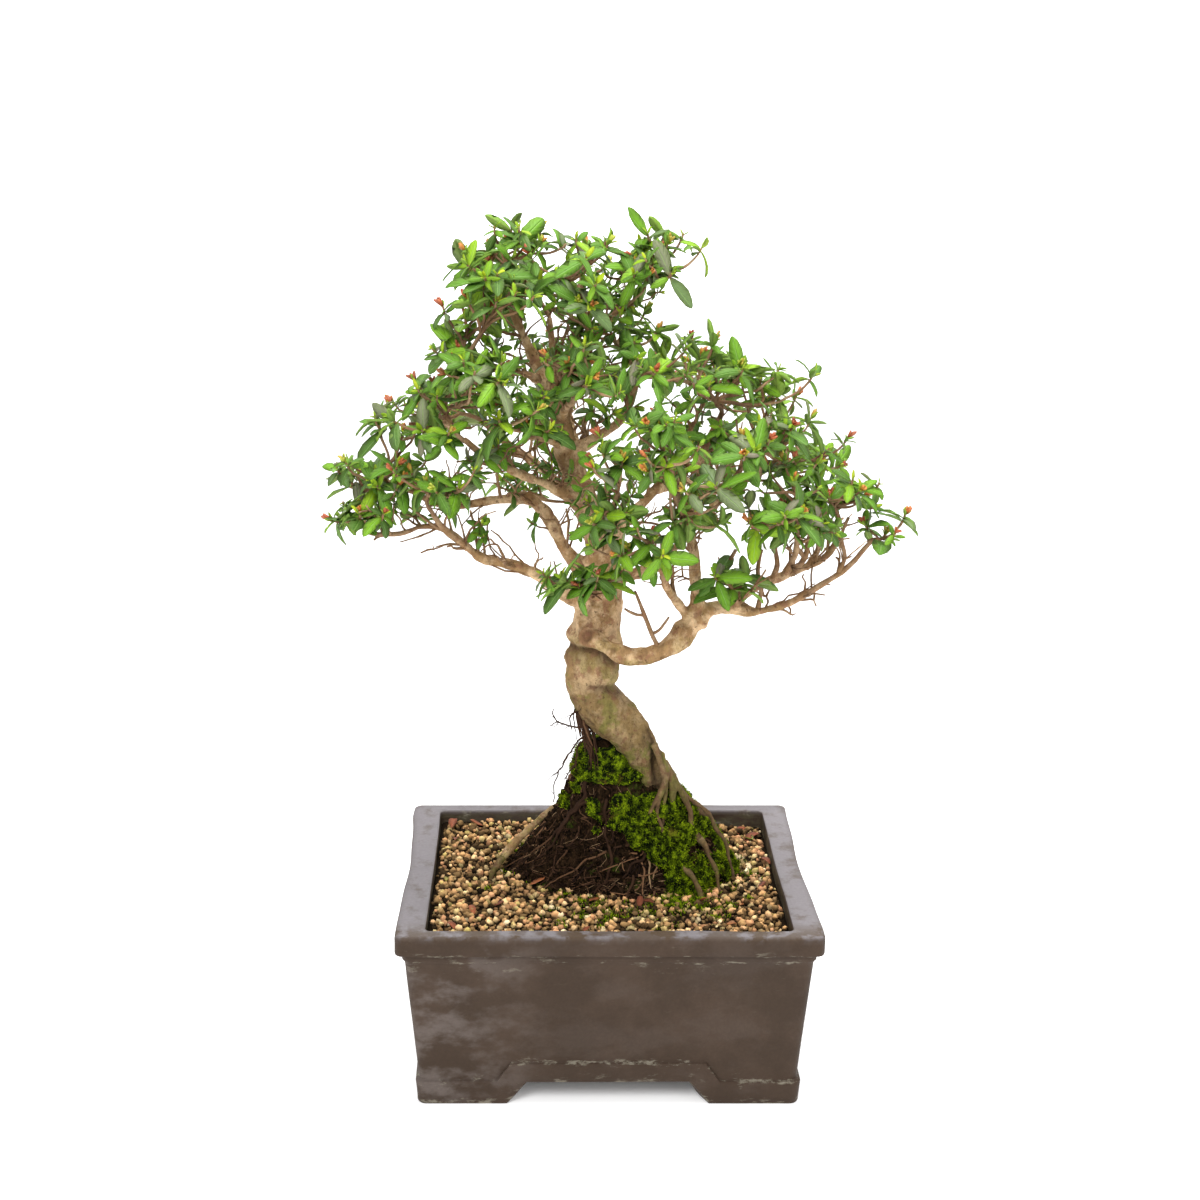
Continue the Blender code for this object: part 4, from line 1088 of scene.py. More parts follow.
@dataclass(frozen=True)
class Leaf:
    """Small leaves, glossy above and paler below, each of its own green."""

    stops: tuple[tuple[float, Colour], ...] = (
        # The first two stops, the grey leaves' colour, paint a sheen
        (0.00, (0.170, 0.130, 0.115)),
        (0.06, (0.130, 0.185, 0.085)),
        (0.13, (0.044, 0.110, 0.016)),
        (0.34, (0.075, 0.205, 0.008)),
        (0.56, (0.140, 0.310, 0.008)),
        (0.80, (0.300, 0.480, 0.010)),
        (1.00, (0.560, 0.640, 0.020)),
    )
    under: Colour = (0.24, 0.33, 0.080)
    rib: Colour = (0.30, 0.47, 0.12)
    blush: Colour = (0.36, 0.13, 0.02)

    def material(self) -> Any:
        """Builds the material, which reads the tones shade and under and the leaf's own sheet."""
        graph = Graph("leaf")
        body = graph.ramp(graph.attribute("shade"), self.stops)
        sheet = graph.add("ShaderNodeUVMap", {"uv_map": "sheet"}).outputs[0]
        parts = graph.add("ShaderNodeSeparateXYZ", None, {0: sheet})
        across, along = Tone(graph, parts.outputs["X"]), Tone(graph, parts.outputs["Y"])
        middle = graph.number("ABSOLUTE", across, 0.0)
        ribs = graph.number("SINE", (along * 6.5 - middle * 1.6) * TURN, 0.0).band(0.55, 1.0)
        midrib = 1 - middle.band(0.04, 0.15)
        mottle = graph.noise(4.0, 3.0, 0.6)
        body = graph.darkened(body, 0.86 + mottle * 0.74)
        body = graph.mix(midrib * 0.35 + ribs * (1 - middle) * 0.10, body, self.rib)
        body = graph.mix((1 - along.band(0.0, 0.16)) * 0.35, body, self.blush)
        under = graph.attribute("under")
        body = graph.mix(under * 0.75, body, self.under)
        normal = graph.bumped(((1 - midrib, 0.35), (1 - ribs, 0.12), (mottle, 0.15)))
        roughness = 0.36 + under * 0.3 + mottle * 0.16
        return graph.finished(body, roughness, normal, Specular_IOR_Level=0.22)


@dataclass(frozen=True)
class DryLeaf:
    """Fallen leaves, from red-brown to a last yellow-green, with dark spots."""

    stops: tuple[tuple[float, Colour], ...] = (
        (0.0, (0.12, 0.028, 0.012)),
        (0.45, (0.30, 0.075, 0.022)),
        (0.75, (0.42, 0.16, 0.045)),
        (1.0, (0.22, 0.30, 0.035)),
    )
    spot: Colour = (0.05, 0.022, 0.012)

    def material(self) -> Any:
        """Builds the material, which reads the leaves' tone shade."""
        graph = Graph("dry_leaf")
        spots = graph.noise(2.6, 3.0, 0.6)
        body = graph.ramp(graph.attribute("shade"), self.stops)
        body = graph.mix(spots.band(0.56, 0.7) * 0.7, body, self.spot)
        return graph.finished(body, 0.7, graph.bumped(((spots, 0.3),)))


@dataclass(frozen=True)
class ScreenPlastic:
    """Black moulded mesh with a faint dust of clay."""

    black: Colour = (0.016, 0.016, 0.017)
    dust: Colour = (0.16, 0.12, 0.085)

    def material(self) -> Any:
        """Builds the material."""
        graph = Graph("screen_plastic")
        dust = graph.noise(5.0, 4.0, 0.65)
        body = graph.mix(dust.band(0.5, 0.8) * 0.6, self.black, self.dust)
        return graph.finished(body, 0.5 + dust * 0.3, graph.bumped(((dust, 0.1),)))


# Sub-assemblies


@dataclass
class Workshop:
    """Puts shells into the scene as pieces of the part."""

    shift: tuple[float, float, float]  # from the pot's bottom centre to the frame's origin

    def piece(
        self, name: str, shell: Shell, material: Any,
        stands_for: Sequence[str] = (), sharp: float | None = None,
    ) -> Any:
        """Makes an object of a shell and has it ride on the root.

        Args:
            name: The piece's name.
            shell: Its surface.
            material: Its finish.
            stands_for: The CAD nodes that it replaces.
            sharp: Degrees from which an edge is shaded sharp, or nothing for none.

        Returns:
            The object.
        """
        mesh = as_mesh(name, shell, MM, self.shift)
        mesh.materials.append(material)
        if sharp is not None:
            mesh.set_sharp_from_angle(angle=math.radians(sharp))
        thing = bpy.data.objects.new(name, mesh)
        bpy.context.scene.collection.objects.link(thing)
        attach(thing, "root")
        if stands_for:
            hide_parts(*stands_for)
        LOG.info("%s: %d points, %d faces", name, len(mesh.vertices), len(mesh.polygons))
        return thing


@dataclass
class Rectangle:
    """Columns round a rounded rectangle, shared by the pot and the soil bed."""

    half: tuple[float, float] = (92.15, 67.0)  # straight half sides at the pot's foot
    marks: tuple[float, ...] = (0.0, 41.0, 48.5, 51.5, 56.0)
    side_marks: tuple[float, ...] = (0.0, 25.0, 31.5, 36.0, 39.0)
    step: float = 4.2
    corner_steps: int = 8

    def __post_init__(self) -> None:
        """Works out each column's share of the half sides, its direction and its distance."""
        sides = [
            self._shares(marks, half)
            for marks, half in zip((self.side_marks, self.marks), self.half[::-1])
        ]
        parts = []
        for side, corner in enumerate(((1, 1), (-1, 1), (-1, -1), (1, -1))):
            along = sides[side % 2]
            turn = side * TURN / 4
            facing = np.array([math.cos(turn), math.sin(turn)])
            ahead = np.array([-math.sin(turn), math.cos(turn)])
            gone = np.abs(along) * self.half[1 - side % 2]
            straight = np.full(len(along), side % 2 == 0)
            columns = np.tile(facing, (len(along), 1))
            parts.append((facing + along[:, None] * ahead, columns, gone, straight))
            angle = turn + np.linspace(0, TURN / 4, self.corner_steps + 1)
            round_it = np.stack([np.cos(angle), np.sin(angle)], axis=1)
            shares = np.tile(np.array(corner, float), (len(angle), 1))
            parts.append((shares, round_it, angle * 0 + 1000.0, np.zeros(len(angle), bool)))
        self.shares, self.facings, self.gone, self.short = (
            np.concatenate(column) for column in zip(*parts)
        )

    def _shares(self, marks: Sequence[float], half: float) -> Array:
        """Places between the ends of a side, through all marks and at most a step apart."""
        knots = np.unique([-half, half, *marks, *[-mark for mark in marks]])
        runs = [
            np.linspace(low, high, max(math.ceil((high - low) / self.step), 1), endpoint=False)
            for low, high in zip(knots, knots[1:])
        ]
        return np.concatenate(runs)[1:] / half

    def ring(
        self, half_x: Array | float, half_y: Array | float, radius: float, z: Array | float
    ) -> Array:
        """A ring: share (half - radius) + facing radius, on each axis.

        Args:
            half_x: Half width, or one for each column.
            half_y: Half depth, or one for each column.
            radius: Radius of the corners.
            z: Height, or one for each column.

        Returns:
            The points.
        """
        x = self.shares[:, 0] * (half_x - radius) + self.facings[:, 0] * radius
        y = self.shares[:, 1] * (half_y - radius) + self.facings[:, 1] * radius
        return np.stack([x, y, np.broadcast_to(z, x.shape)], axis=1)


@dataclass
class Pot:
    """The pot: a tapered wall with a lip and a skirt, arches between its feet and two drains."""

    rim: tuple[float, float] = (110.0, 84.5)
    rim_radius: float = 4.5
    inner_radius: float = 3.5
    rim_width: tuple[float, float] = (15.0, 9.0)
    rim_edge: float = 1.2
    height: float = 102.0
    lip: float = 10.7
    wall_top: tuple[float, float] = (105.5, 80.3)
    wall_base: tuple[float, float] = (99.15, 74.0)
    thickness: float = 9.0
    floor: tuple[float, float] = (13.6, 21.0)
    skirt: float = 1.9
    skirt_heights: tuple[float, float] = (14.4, 25.6)
    arch_top: float = 13.4
    arch: tuple[float, ...] = (51.5, 41.0, 36.0, 25.0)  # from where to where its ends rise
    skirt_rise: tuple[float, ...] = (56.0, 48.5, 39.0, 31.5)
    foot_radius: float = 4.0
    drain_radius: float = 9.0
    drain_x: float = 45.0
    columns: Rectangle = field(default_factory=Rectangle)

    def _slope(self, low: float, high: float, side_low: float, side_high: float) -> Array:
        """For each column, 0 outside a trapezoid, 1 under its top and a straight rise between."""
        outer = np.where(self.columns.short, side_low, low)
        inner = np.where(self.columns.short, side_high, high)
        return np.clip((outer - self.columns.gone) / (outer - inner), 0, 1)

    def _wall(self, z: Array | float, relief: float, radius: float | None = None) -> Array:
        """A ring of the tapered outer wall, grown by a relief."""
        share = np.asarray(z) / (self.height - self.lip)
        halves = (
            low + (high - low) * share + relief for low, high in zip(self.wall_base, self.wall_top)
        )
        return self.columns.ring(*halves, radius or self.rim_radius, z)

    def inner(self, z: float, inset: float = 0.0) -> Array:
        """A ring of the inner wall, or one inside it by the inset."""
        share = (z - self.floor[1]) / (self.height - self.floor[1])
        halves = []
        for axis in range(2):
            taper = self.floor[1] / (self.height - self.lip)
            base = self.wall_base[axis] + (self.wall_top[axis] - self.wall_base[axis]) * taper
            low, high = base - self.thickness, self.rim[axis] - self.rim_width[axis]
            halves.append(low + (high - low) * share - inset)
        return self.columns.ring(*halves, self.inner_radius, z)

    def _uneven(self, points: Array, share: Array) -> Array:
        """Bends the straight sides as the hand-pressed clay has sagged.

        The left and right walls take in a sum of bell curves in y, which fades downwards and
        on the inner wall, and every point moves a little by wide noise.
        """
        x, y, z = points.T
        left = 1.9 * bell(y - 2, 24) - 1.2 * bell(y - 72, 14) - 0.4 * bell(y + 72, 16)
        right = 3.0 * bell(y - 4, 36) + 1.0 * bell(y - 66, 22) - 0.9 * bell(y + 74, 12)
        dent = np.where(x < 0, left, right) * share
        dent = dent * smoothed(60, 92, np.abs(x)) * smoothed(10, 100, z)
        moved = points.copy()
        moved[:, 0] -= np.sign(x) * dent
        sway = smoothed(0, 6, z)[:, None] * np.array([0.5, 0.5, 0.4])
        moved += swaying(points, 38, 1) * sway * np.array([1.0, 1.0, 0.6])
        return moved

    def shell(self) -> Shell:
        """The pot's surface, as rings from the pole under its floor round to the one inside it.

        Each row is a ring with its share of the lime crust along the ledges, a painted highlight
        too on the skirt's top edge, and of the painted top light on the rim's top.
        """
        low = self.arch_top * self._slope(*self.arch)
        rise = self._slope(*self.skirt_rise)
        band = self.skirt_heights[0] + (self.skirt_heights[1] - self.skirt_heights[0]) * rise
        lip_z, top, under = self.height - self.lip, self.height, self.thickness
        rows = [
            (self._wall(self.floor[0], -under - 3.0, self.foot_radius), 0, 0),
            (self._wall(np.maximum(low, 1.0) + 0.2, -under, self.foot_radius), 0.3, 0),
            (self._wall(low, -under + 1.0, self.foot_radius), 0.8, 0),
        ]
        wall = [(low, self.skirt - 1.2, 1), (low + 0.3, self.skirt - 0.35, 1)]
        wall.append((low + 1.2, self.skirt, 1))
        for share, ledge in ((0.3, 0.45), (0.6, 0.2), (0.85, 0.35)):
            wall.append((low + 1.2 + (band - low - 3.0) * share, self.skirt, ledge))
        # The skirt's top edge takes the full ledge tone: lime with a painted highlight
        wall += [(band - 1.1, self.skirt, 0.8), (band - 0.5, self.skirt * 0.8, 1)]
        wall += [(band - 0.1, 0.3, 1), (band + 0.3, 0.0, 0.9)]
        for share in (0.04, 0.12, 0.3, 0.5, 0.7, 0.85, 0.93, 0.98):
            ledge = 0.35 if share > 0.9 or share < 0.1 else 0
            wall.append((band + 0.3 + (lip_z - 5.6 - band - 0.3) * share, 0.0, ledge))
        wall += [(lip_z - 4.9, 0.5, 0.9), (lip_z - 4.2, 1.1, 0.6)]
        wall += [(lip_z - 2.2, 1.2, 0.25), (lip_z - 0.2, 1.2, 1)]
        rows += [(self._wall(z, relief), ledge, 0) for z, relief, ledge in wall]
        edge = self.rim_edge
        # The last value of each rim row is its share of the painted top light
        for inset, z, ledge, pale in (
            (0.9, lip_z + 0.05, 1, 0), (0.25, lip_z + 0.35, 0.9, 0), (0.0, lip_z + 1.1, 0.5, 0),
            (0.0, lip_z + 3.0, 0.1, 0), (0.0, top - 4.0, 0.1, 0), (0.0, top - edge - 0.4, 0.2, 0.1),
            (0.35, top - edge * 0.4, 0.4, 0.4), (edge, top, 0.2, 0.8), (edge + 2.0, top, 0, 1),
        ):
            halves = (half - inset for half in self.rim)
            rows.append((self.columns.ring(*halves, self.rim_radius - inset, z), ledge, pale))
        for share in (0.5, 0.92):
            halves = (
                half - 3.2 - (wide - 3.2) * share for half, wide in zip(self.rim, self.rim_width)
            )
            rows.append((self.columns.ring(*halves, self.inner_radius, top), 0, 1))
        rows += [(self.inner(top - 0.35, -0.1), 0.6, 0.8), (self.inner(top - 1.2), 0.8, 0.3)]
        outside = len(rows)
        for z in (top - 3.0, 96.0, 91.0, 80.0, 50.0, self.floor[1] + 2.0):
            rows.append((self.inner(z), 0.3, 0))
        rows.append((self.inner(self.floor[1], 2.0), 0, 0))
        rings, ledges, painted_top_light = zip(*rows)
        shell = closed_grid(np.stack(rings), (0, 0, self.floor[0]), (0, 0, self.floor[1]))
        order = np.arange(len(rows))

        def spread(values: Any) -> Array:
            """A value for each row, given to its points and to the poles."""
            return np.r_[np.repeat(np.array(values, float), len(rings[0])), 0.0, 0.0]

        shell.tones = {
            "ledge": spread(ledges), "top": spread(painted_top_light), "inside": spread(order >= outside),
        }
        bend = spread(np.where(order < outside - 4, 1.0, 0.25))
        shell.points = self._uneven(shell.points, bend)
        return shell

    def build(self, shop: Workshop) -> None:
        """Makes the pot and drills its drain holes."""
        clay = FiredClay().material()
        thing = shop.piece("clay_pot", self.shell(), clay, ("pot",), 40)
        angle = np.arange(24) * TURN / 24
        for side in (-1, 1):
            ring = np.stack([np.cos(angle), np.sin(angle), angle * 0], axis=1) * self.drain_radius
            levels = (self.floor[0] - 3, self.floor[1] + 3)
            ends = np.array([[side * self.drain_x, 0, z] for z in levels])
            cutter = closed_grid(ring[None] + ends[:, None], *ends)
            drill = bpy.data.objects.new("drill", as_mesh("drill", cutter, MM, shop.shift))
            bpy.context.scene.collection.objects.link(drill)
            hole = thing.modifiers.new("Drain", "BOOLEAN")
            hole.object = drill
            hole.operation = "DIFFERENCE"
            graph = bpy.context.evaluated_depsgraph_get()
            thing.data = bpy.data.meshes.new_from_object(thing.evaluated_get(graph))
            thing.modifiers.clear()
            bpy.data.objects.remove(drill, do_unlink=True)
        plastic = ScreenPlastic().material()
        for name in ("drain_screen_left", "drain_screen_right"):
            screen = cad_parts[name]
            screen.data.materials.clear()
            screen.data.materials.append(plastic)


def turns(draws: Draws, count: int) -> Array:
    """Random turns, as matrices whose columns are three directions square to each other."""
    first = unit(draws.standard_normal((count, 3)))
    second = unit(np.cross(first, draws.standard_normal((count, 3))))
    return np.stack([first, second, np.cross(first, second)], axis=2)


def lumps(
    places: Array, size: Array, shade: Array, levels: int, draws: Draws
) -> Shell:
    """Grains: balls of a few rings of five points, each turned, sized and dented.

    Args:
        places: Middle of each grain.
        size: Half size of each grain.
        shade: Tone of each grain.
        levels: Rings of a grain between its poles.
        draws: Source of random numbers.

    Returns:
        The grains, with their tones shade and a painted light, from 0 at a grain's foot to 1 at its
        top.
    """
    steps = np.linspace(-math.pi / 2, math.pi / 2, levels + 2)[1:-1]
    tilt, around = np.meshgrid(steps, np.arange(5) * TURN / 5, indexing="ij")
    around = around + np.arange(levels)[:, None] * TURN / 10
    level = np.cos(tilt)
    rings = np.stack([level * np.cos(around), level * np.sin(around), np.sin(tilt)], axis=-1)
    ball = closed_grid(rings, (0, 0, -1), (0, 0, 1))
    count = len(places)
    axes = size[:, None] * draws.uniform(0.8, 1.2, (count, 3))
    dented = ball.points[None] * (1 + 0.15 * draws.standard_normal((count, len(ball.points), 1)))
    turned = np.einsum("nij,npj->npi", turns(draws, count), dented * axes[:, None])
    shell = copies(turned + places[:, None], ball.quads, ball.triangles)
    shell.tones["shade"] = np.repeat(shade, len(ball.points))
    # Painted light from 0 at a grain's foot to 1 at its top, which paints shade on its underside
    crown = 0.55 + 0.5 * turned[..., 2] / size[:, None]
    shell.tones["crown"] = np.clip(crown, 0, 1).ravel()
    return shell


@dataclass
class Soil:
    """The bed of granules between the pot's wall and the mound of roots."""

    pot: Pot
    mound: "Mound"
    top: float = 94.2
    tilt: float = -0.018
    bottom: float = 21.4
    rings: int = 34
    spacing: float = 3.15
    grain: tuple[float, float] = (1.1, 2.25)  # half sizes of a grain
    field_half: tuple[float, float] = (98, 78)  # half sides of the grid of grains
    row_step: float = 0.87  # of the spacing, between its rows
    second: float = 0.22  # share of places with a grain on top
    small: tuple[float, float] = (0.12, 0.62)  # share of small grains, and their scale
    wall: tuple[float, float] = (95.0, 94.0)  # the pot's inner half width, low and high
    wall_depth: float = 73.4
    dark: float = 0.14  # share of dark grains

    def height(self, x: Array, y: Array) -> Array:
        """Height of the bed: a tilted plane with wide and narrow noise."""
        points = np.stack([x, y, np.zeros_like(x)], axis=-1)
        return self.top + self.tilt * x + 1.3 * wander(points, 34, 5) + 0.5 * wander(points, 8, 6)

    def bed(self) -> Shell:
        """The bed: rings up the pot's wall, then inwards over the top to a pole at its middle."""
        outer = self.pot.inner(self.top, 0.25)
        shares = np.linspace(0, 1, self.rings + 1)[1:]
        flat = outer[None] * shares[::-1, None, None]
        flat[..., 2] = self.height(flat[..., 0], flat[..., 1])
        sides = [self.pot.inner(z, 0.25) for z in (self.bottom, 40.0, 70.0, 88.0)]
        rings = np.concatenate([np.stack(sides), flat])
        middle = float(self.height(np.array(0.0), np.array(0.0)))
        return closed_grid(rings, (0, 0, self.bottom), (0, 0, middle))

    def grains(self, draws: Draws) -> Shell:
        """The grains on the bed, on a grid whose places are shifted at random, in two layers."""
        half_x, half_y = self.field_half
        across = np.arange(-half_x, half_x, self.spacing)
        deep = np.arange(-half_y, half_y, self.spacing * self.row_step)
        x, y = np.meshgrid(across, deep, indexing="ij")
        x = (x + (np.arange(len(deep)) % 2) * self.spacing / 2).ravel()
        y = y.ravel()
        second = draws.random(len(x)) < self.second
        x, y = np.r_[x, x[second] + self.spacing / 2], np.r_[y, y[second] + self.spacing / 2]
        layer = np.r_[np.zeros(len(second)), np.ones(second.sum())]
        x = x + draws.uniform(-1.0, 1.0, len(x))
        y = y + draws.uniform(-1.0, 1.0, len(y))
        size = draws.uniform(*self.grain, len(x))
        size = size * np.where(draws.random(len(x)) < self.small[0], self.small[1], 1.0)
        share = (self.top - self.pot.floor[1]) / (self.pot.height - self.pot.floor[1])
        limit = self.wall[1] * share + self.wall[0] * (1 - share)
        inside = (np.abs(x) < limit - size) & (np.abs(y) < self.wall_depth - size)
        inside &= ~self.mound.covers(x, y)
        x, y, size, layer = x[inside], y[inside], size[inside], layer[inside]
        count = len(x)
        rise = draws.random(count)
        z = self.height(x, y) + size * (0.15 + 0.7 * rise) + layer * 1.6 - 0.6
        damp = 0.5 * wander(np.stack([x, y, z * 0], axis=1), 26, 9)
        shade = np.clip(draws.beta(1.5, 1.5, count) + 0.2 * damp, 0, 1)
        dark = draws.random(count) < self.dark
        shade = np.where(dark, draws.uniform(0, 0.13, count), shade)
        shell = lumps(np.stack([x, y, z], axis=1), size, shade, 3, draws)
        # Painted shade on the grains that sit lower in the bed
        lit = np.clip(0.5 + 0.5 * rise + 0.4 * layer, 0, 1)
        shell.tones["crown"] *= np.repeat(lit, len(shell.points) // count)
        return shell

    def build(self, shop: Workshop, draws: Draws) -> None:
        """Makes the bed and its loose grains."""
        bed = self.bed()
        # The bed between the grains takes a low painted light, which paints shade in the gaps
        bed.tones = {"shade": np.full(len(bed.points), 0.1), "crown": np.full(len(bed.points), 0.3)}
        finish = Granules().material()
        shop.piece("soil_bed", bed, finish, ("soil",))
        shop.piece("soil_grains", self.grains(draws), finish, sharp=50)


@dataclass
class Mound:
    """The mound of earth and fine roots that the trunk stands on."""

    levels: tuple[tuple[float, ...], ...] = (
        (66, 4, 12, 44, 30), (85, 6, 13, 58, 35), (97, 8.5, 13, 62, 37), (109, 10, 11, 53, 32),
        (121, 12, 10, 46, 27), (134, 11, 9, 36, 23), (148, 8, 7, 28, 18), (162, 4, 6, 20, 14),
        (172, 0, 5, 11, 9), (177, -2, 4, 4, 3),
    )  # (z, centre x, centre y, half x, half y)
    rows: int = 96
    columns: int = 190
    base: float = 88.0
    top: float = 176.5
    crumb_count: int = 3000
    crumb_size: tuple[float, float] = (0.4, 1.5)  # the least half size, and what chance adds
    crumb_band: tuple[float, float] = (176.0, 84.0)  # the highest, and how far down they go
    foot: tuple[float, float, float, float] = (6, 13, 62, 34)  # ellipse kept free of grains

    def section(self, z: Array) -> Array:
        """Centre and half widths of the mound's ellipse at each height, as four columns."""
        table = np.array(self.levels, float)
        return np.stack([np.interp(z, table[:, 0], column) for column in table.T[1:]], axis=-1)

    def covers(self, x: Array, y: Array) -> Array:
        """Whether places on the soil lie under the mound."""
        middle_x, middle_y, half_x, half_y = self.foot
        return ((x - middle_x) / half_x) ** 2 + ((y - middle_y) / half_y) ** 2 < 1

    def relief(self, points: Array) -> Array:
        """How far the surface stands out: lumps of earth, and ridges of fibre that run down it."""
        clods = 2.0 * wander(points, 21, 11) + 2.0 * wander(points, 8, 12)
        ridge = 1 - np.abs(wander(points, (3.2, 3.2, 15), 13)) * 2
        return clods + 0.5 * ridge + 1.3 * layered(points, 4.2, 2, 14)

    def at(self, angle: Array, z: Array, lift: Array | float = 0.0) -> Array:
        """Points on the mound: centre + (half + relief + lift) in the direction of the angle.

        Args:
            angle: Angle round the mound.
            z: Height.
            lift: Distance out from the surface.

        Returns:
            The points.
        """
        part = self.section(z)
        facing = np.stack([np.cos(angle), np.sin(angle)], axis=-1)
        flat = part[..., :2] + part[..., 2:] * facing
        plain = np.concatenate([flat, np.asarray(z)[..., None]], axis=-1)
        narrow = np.minimum(1, part[..., 2] / 23)
        out = (self.relief(plain) * narrow + lift)[..., None] * facing
        return np.concatenate([flat + out, plain[..., 2:]], axis=-1)

    def skin(self, lift: Array | float) -> Shell:
        """The whole mound's surface at a distance out from it, one value or one for each point."""
        z = np.linspace(self.base, self.top, self.rows)
        angle = np.arange(self.columns) * TURN / self.columns
        angles, heights = np.meshgrid(angle, z)
        rings = self.at(angles, heights, lift)
        top = rings[-1].mean(axis=0) + np.array([0, 0, 1.0])
        return closed_grid(rings, rings[0].mean(axis=0), top)

    def draped(self, route: Array, soil: "Soil", lift: Array | float) -> Array:
        """A route laid on the mound, or on the soil where it runs outside the mound.

        Args:
            route: Points near the surface.
            soil: The bed round the mound.
            lift: Distance from the surface to the route.

        Returns:
            The moved points.
        """
        part = self.section(route[:, 2])
        away = (route[:, :2] - part[:, :2]) / part[:, 2:]
        angle = np.arctan2(away[:, 1], away[:, 0])
        on_mound = self.at(angle, route[:, 2], lift)
        on_soil = route.copy()
        on_soil[:, 2] = soil.height(route[:, 0], route[:, 1]) + lift + 0.8
        outside = np.linalg.norm(away, axis=1) > 1.08
        return np.where((outside & (route[:, 2] < 103))[:, None], on_soil, on_mound)

    def crumbs(self, draws: Draws) -> Shell:
        """Crumbs of earth on the mound."""
        highest, band = self.crumb_band
        z = highest - band * np.sqrt(draws.random(self.crumb_count))
        size = self.crumb_size[0] + self.crumb_size[1] * draws.random(len(z)) ** 2
        places = self.at(draws.uniform(0, TURN, len(z)), z, size * draws.uniform(-0.2, 0.6, len(z)))
        return lumps(places, size, size * 0, 2, draws)

    def build(self, shop: Workshop, draws: Draws) -> None:
        """Makes the mound and the crumbs on it."""
        finish = Earth().material()
        shop.piece("root_earth", self.skin(0.0), finish, ("root_mound",))
        shop.piece("earth_crumbs", self.crumbs(draws), finish)


@dataclass
class MossCushion:
    """Moss over the top and the right of the mound, with a pile of tiny shoots."""

    mound: Mound
    soil: Soil
    thickness: float = 3.2
    shoots: int = 21000
    tufts: int = 150
    top: float = 177.0
    foot: float = 94.0
    edge_z: tuple[float, ...] = (95, 109, 122, 136, 150, 165, 180)
    edge_x: tuple[float, ...] = (26, 21, 14, -5, -13, -17, -20)  # where moss starts there
    tuft_field: tuple[float, float, float] = (12, 80, 66)  # middle x, and reach in x and y
    tuft_shoots: int = 26
    clump: tuple[tuple[float, float], tuple[float, float], int] = ((41, -31), (8, 4.5), 30)

    def cover(self, points: Array) -> Array:
        """How much moss grows at each place: 1 right of a leaning edge with noise, 0 left of it."""
        x, z = points[..., 0], points[..., 2]
        edge = np.interp(z, self.edge_z, self.edge_x)
        ragged = 5.0 * wander(points, 15, 21) + 4.5 * wander(points, 5, 22)
        gaps = smoothed(0.34, 0.48, wander(points, 9, 23))
        tufts = smoothed(0.46, 0.6, wander(points, (7, 7, 10), 26)) * smoothed(20, -10, edge)
        return np.maximum(smoothed(-1.5, 2.0, x - edge + ragged) * (1 - gaps), tufts)

    def lift(self, points: Array) -> Array:
        """Thickness of the cushion at each place, below the mound's surface where none grows."""
        cushions = 1.5 * wander(points, 8, 24) + 1.3 * wander(points, 3.6, 25)
        return (self.thickness + cushions) * self.cover(points) - 1.8 * (1 - self.cover(points))

    def cushion(self) -> Shell:
        """The body of the moss."""
        plain = self.mound.skin(0.0)
        grid = plain.points[:-2].reshape(self.mound.rows, self.mound.columns, 3)
        shell = self.mound.skin(self.lift(grid))
        place = shell.points
        # Painted shade: the tone follows the cushion's lumps and darkens its dips
        tone = 0.1 + 0.35 * wander(place, 3.6, 25) + 0.25 * wander(place, 8, 24)
        shell.tones["height"] = np.clip(tone, 0, 1)
        return shell

    def pile(self, draws: Draws) -> Shell:
        """The shoots: three-sided spikes on the cushion and on scattered tufts on the soil."""
        angle = draws.uniform(0, TURN, self.shoots * 2)
        z = self.top - (self.top - self.foot) * np.sqrt(draws.random(self.shoots * 2))
        plain = self.mound.at(angle, z)
        keep = self.cover(plain) > 0.45
        angle, z, plain = angle[keep], z[keep], plain[keep]
        foot = self.mound.at(angle, z, self.lift(plain) - 0.3)
        part = self.mound.section(z)
        away = (foot[:, :2] - part[:, :2]) / part[:, 2:] ** 2
        outward = unit(np.concatenate([unit(away), np.full((len(z), 1), 0.65)], axis=1))
        turn = draws.uniform(0, TURN, self.tufts)
        reach = draws.uniform(0.2, 1.0, self.tufts) ** 0.5
        shift, wide, deep = self.tuft_field
        x, y = shift + np.cos(turn) * wide * reach, np.sin(turn) * deep * reach
        middle = np.stack([x, y], axis=1)
        near = ((middle[:, 0] - 24) / 58) ** 2 + ((middle[:, 1] + 8) / 52) ** 2 < 1
        middle = middle[near | (draws.random(self.tufts) < 0.3)]
        place, scatter, number = self.clump
        middle = np.vstack([middle, draws.normal(place, scatter, (number, 2))])
        spread = draws.normal(0, 2.3, (len(middle), self.tuft_shoots, 2))
        spread = spread * draws.uniform(0.3, 1.3, (len(middle), 1, 1))
        low = (middle[:, None] + spread).reshape(-1, 2)
        low = low[(np.abs(low[:, 0]) < 92) & (np.abs(low[:, 1]) < 72)]
        bed = np.column_stack([low, self.soil.height(low[:, 0], low[:, 1]) + 1.4])
        foot = np.vstack([foot, bed])
        outward = np.vstack([outward, np.tile([0.0, 0.0, 1.0], (len(bed), 1))])
        count = len(foot)
        outward = unit(outward + 0.42 * draws.standard_normal((count, 3)))
        side = unit(np.cross(outward, draws.standard_normal((count, 3))))
        other = np.cross(outward, side)
        tall = draws.uniform(1.1, 2.8, (count, 1))
        wide = draws.uniform(0.28, 0.5, (count, 1))
        corners = [
            foot + wide * (math.cos(turn) * side + math.sin(turn) * other)
            for turn in (0, TURN / 3, 2 * TURN / 3)
        ]
        points = np.stack([*corners, foot + outward * tall], axis=1)
        faces = np.array([[0, 2, 1], [0, 1, 3], [1, 2, 3], [2, 0, 3]])
        shell = copies(points, whole(0, 4), faces)
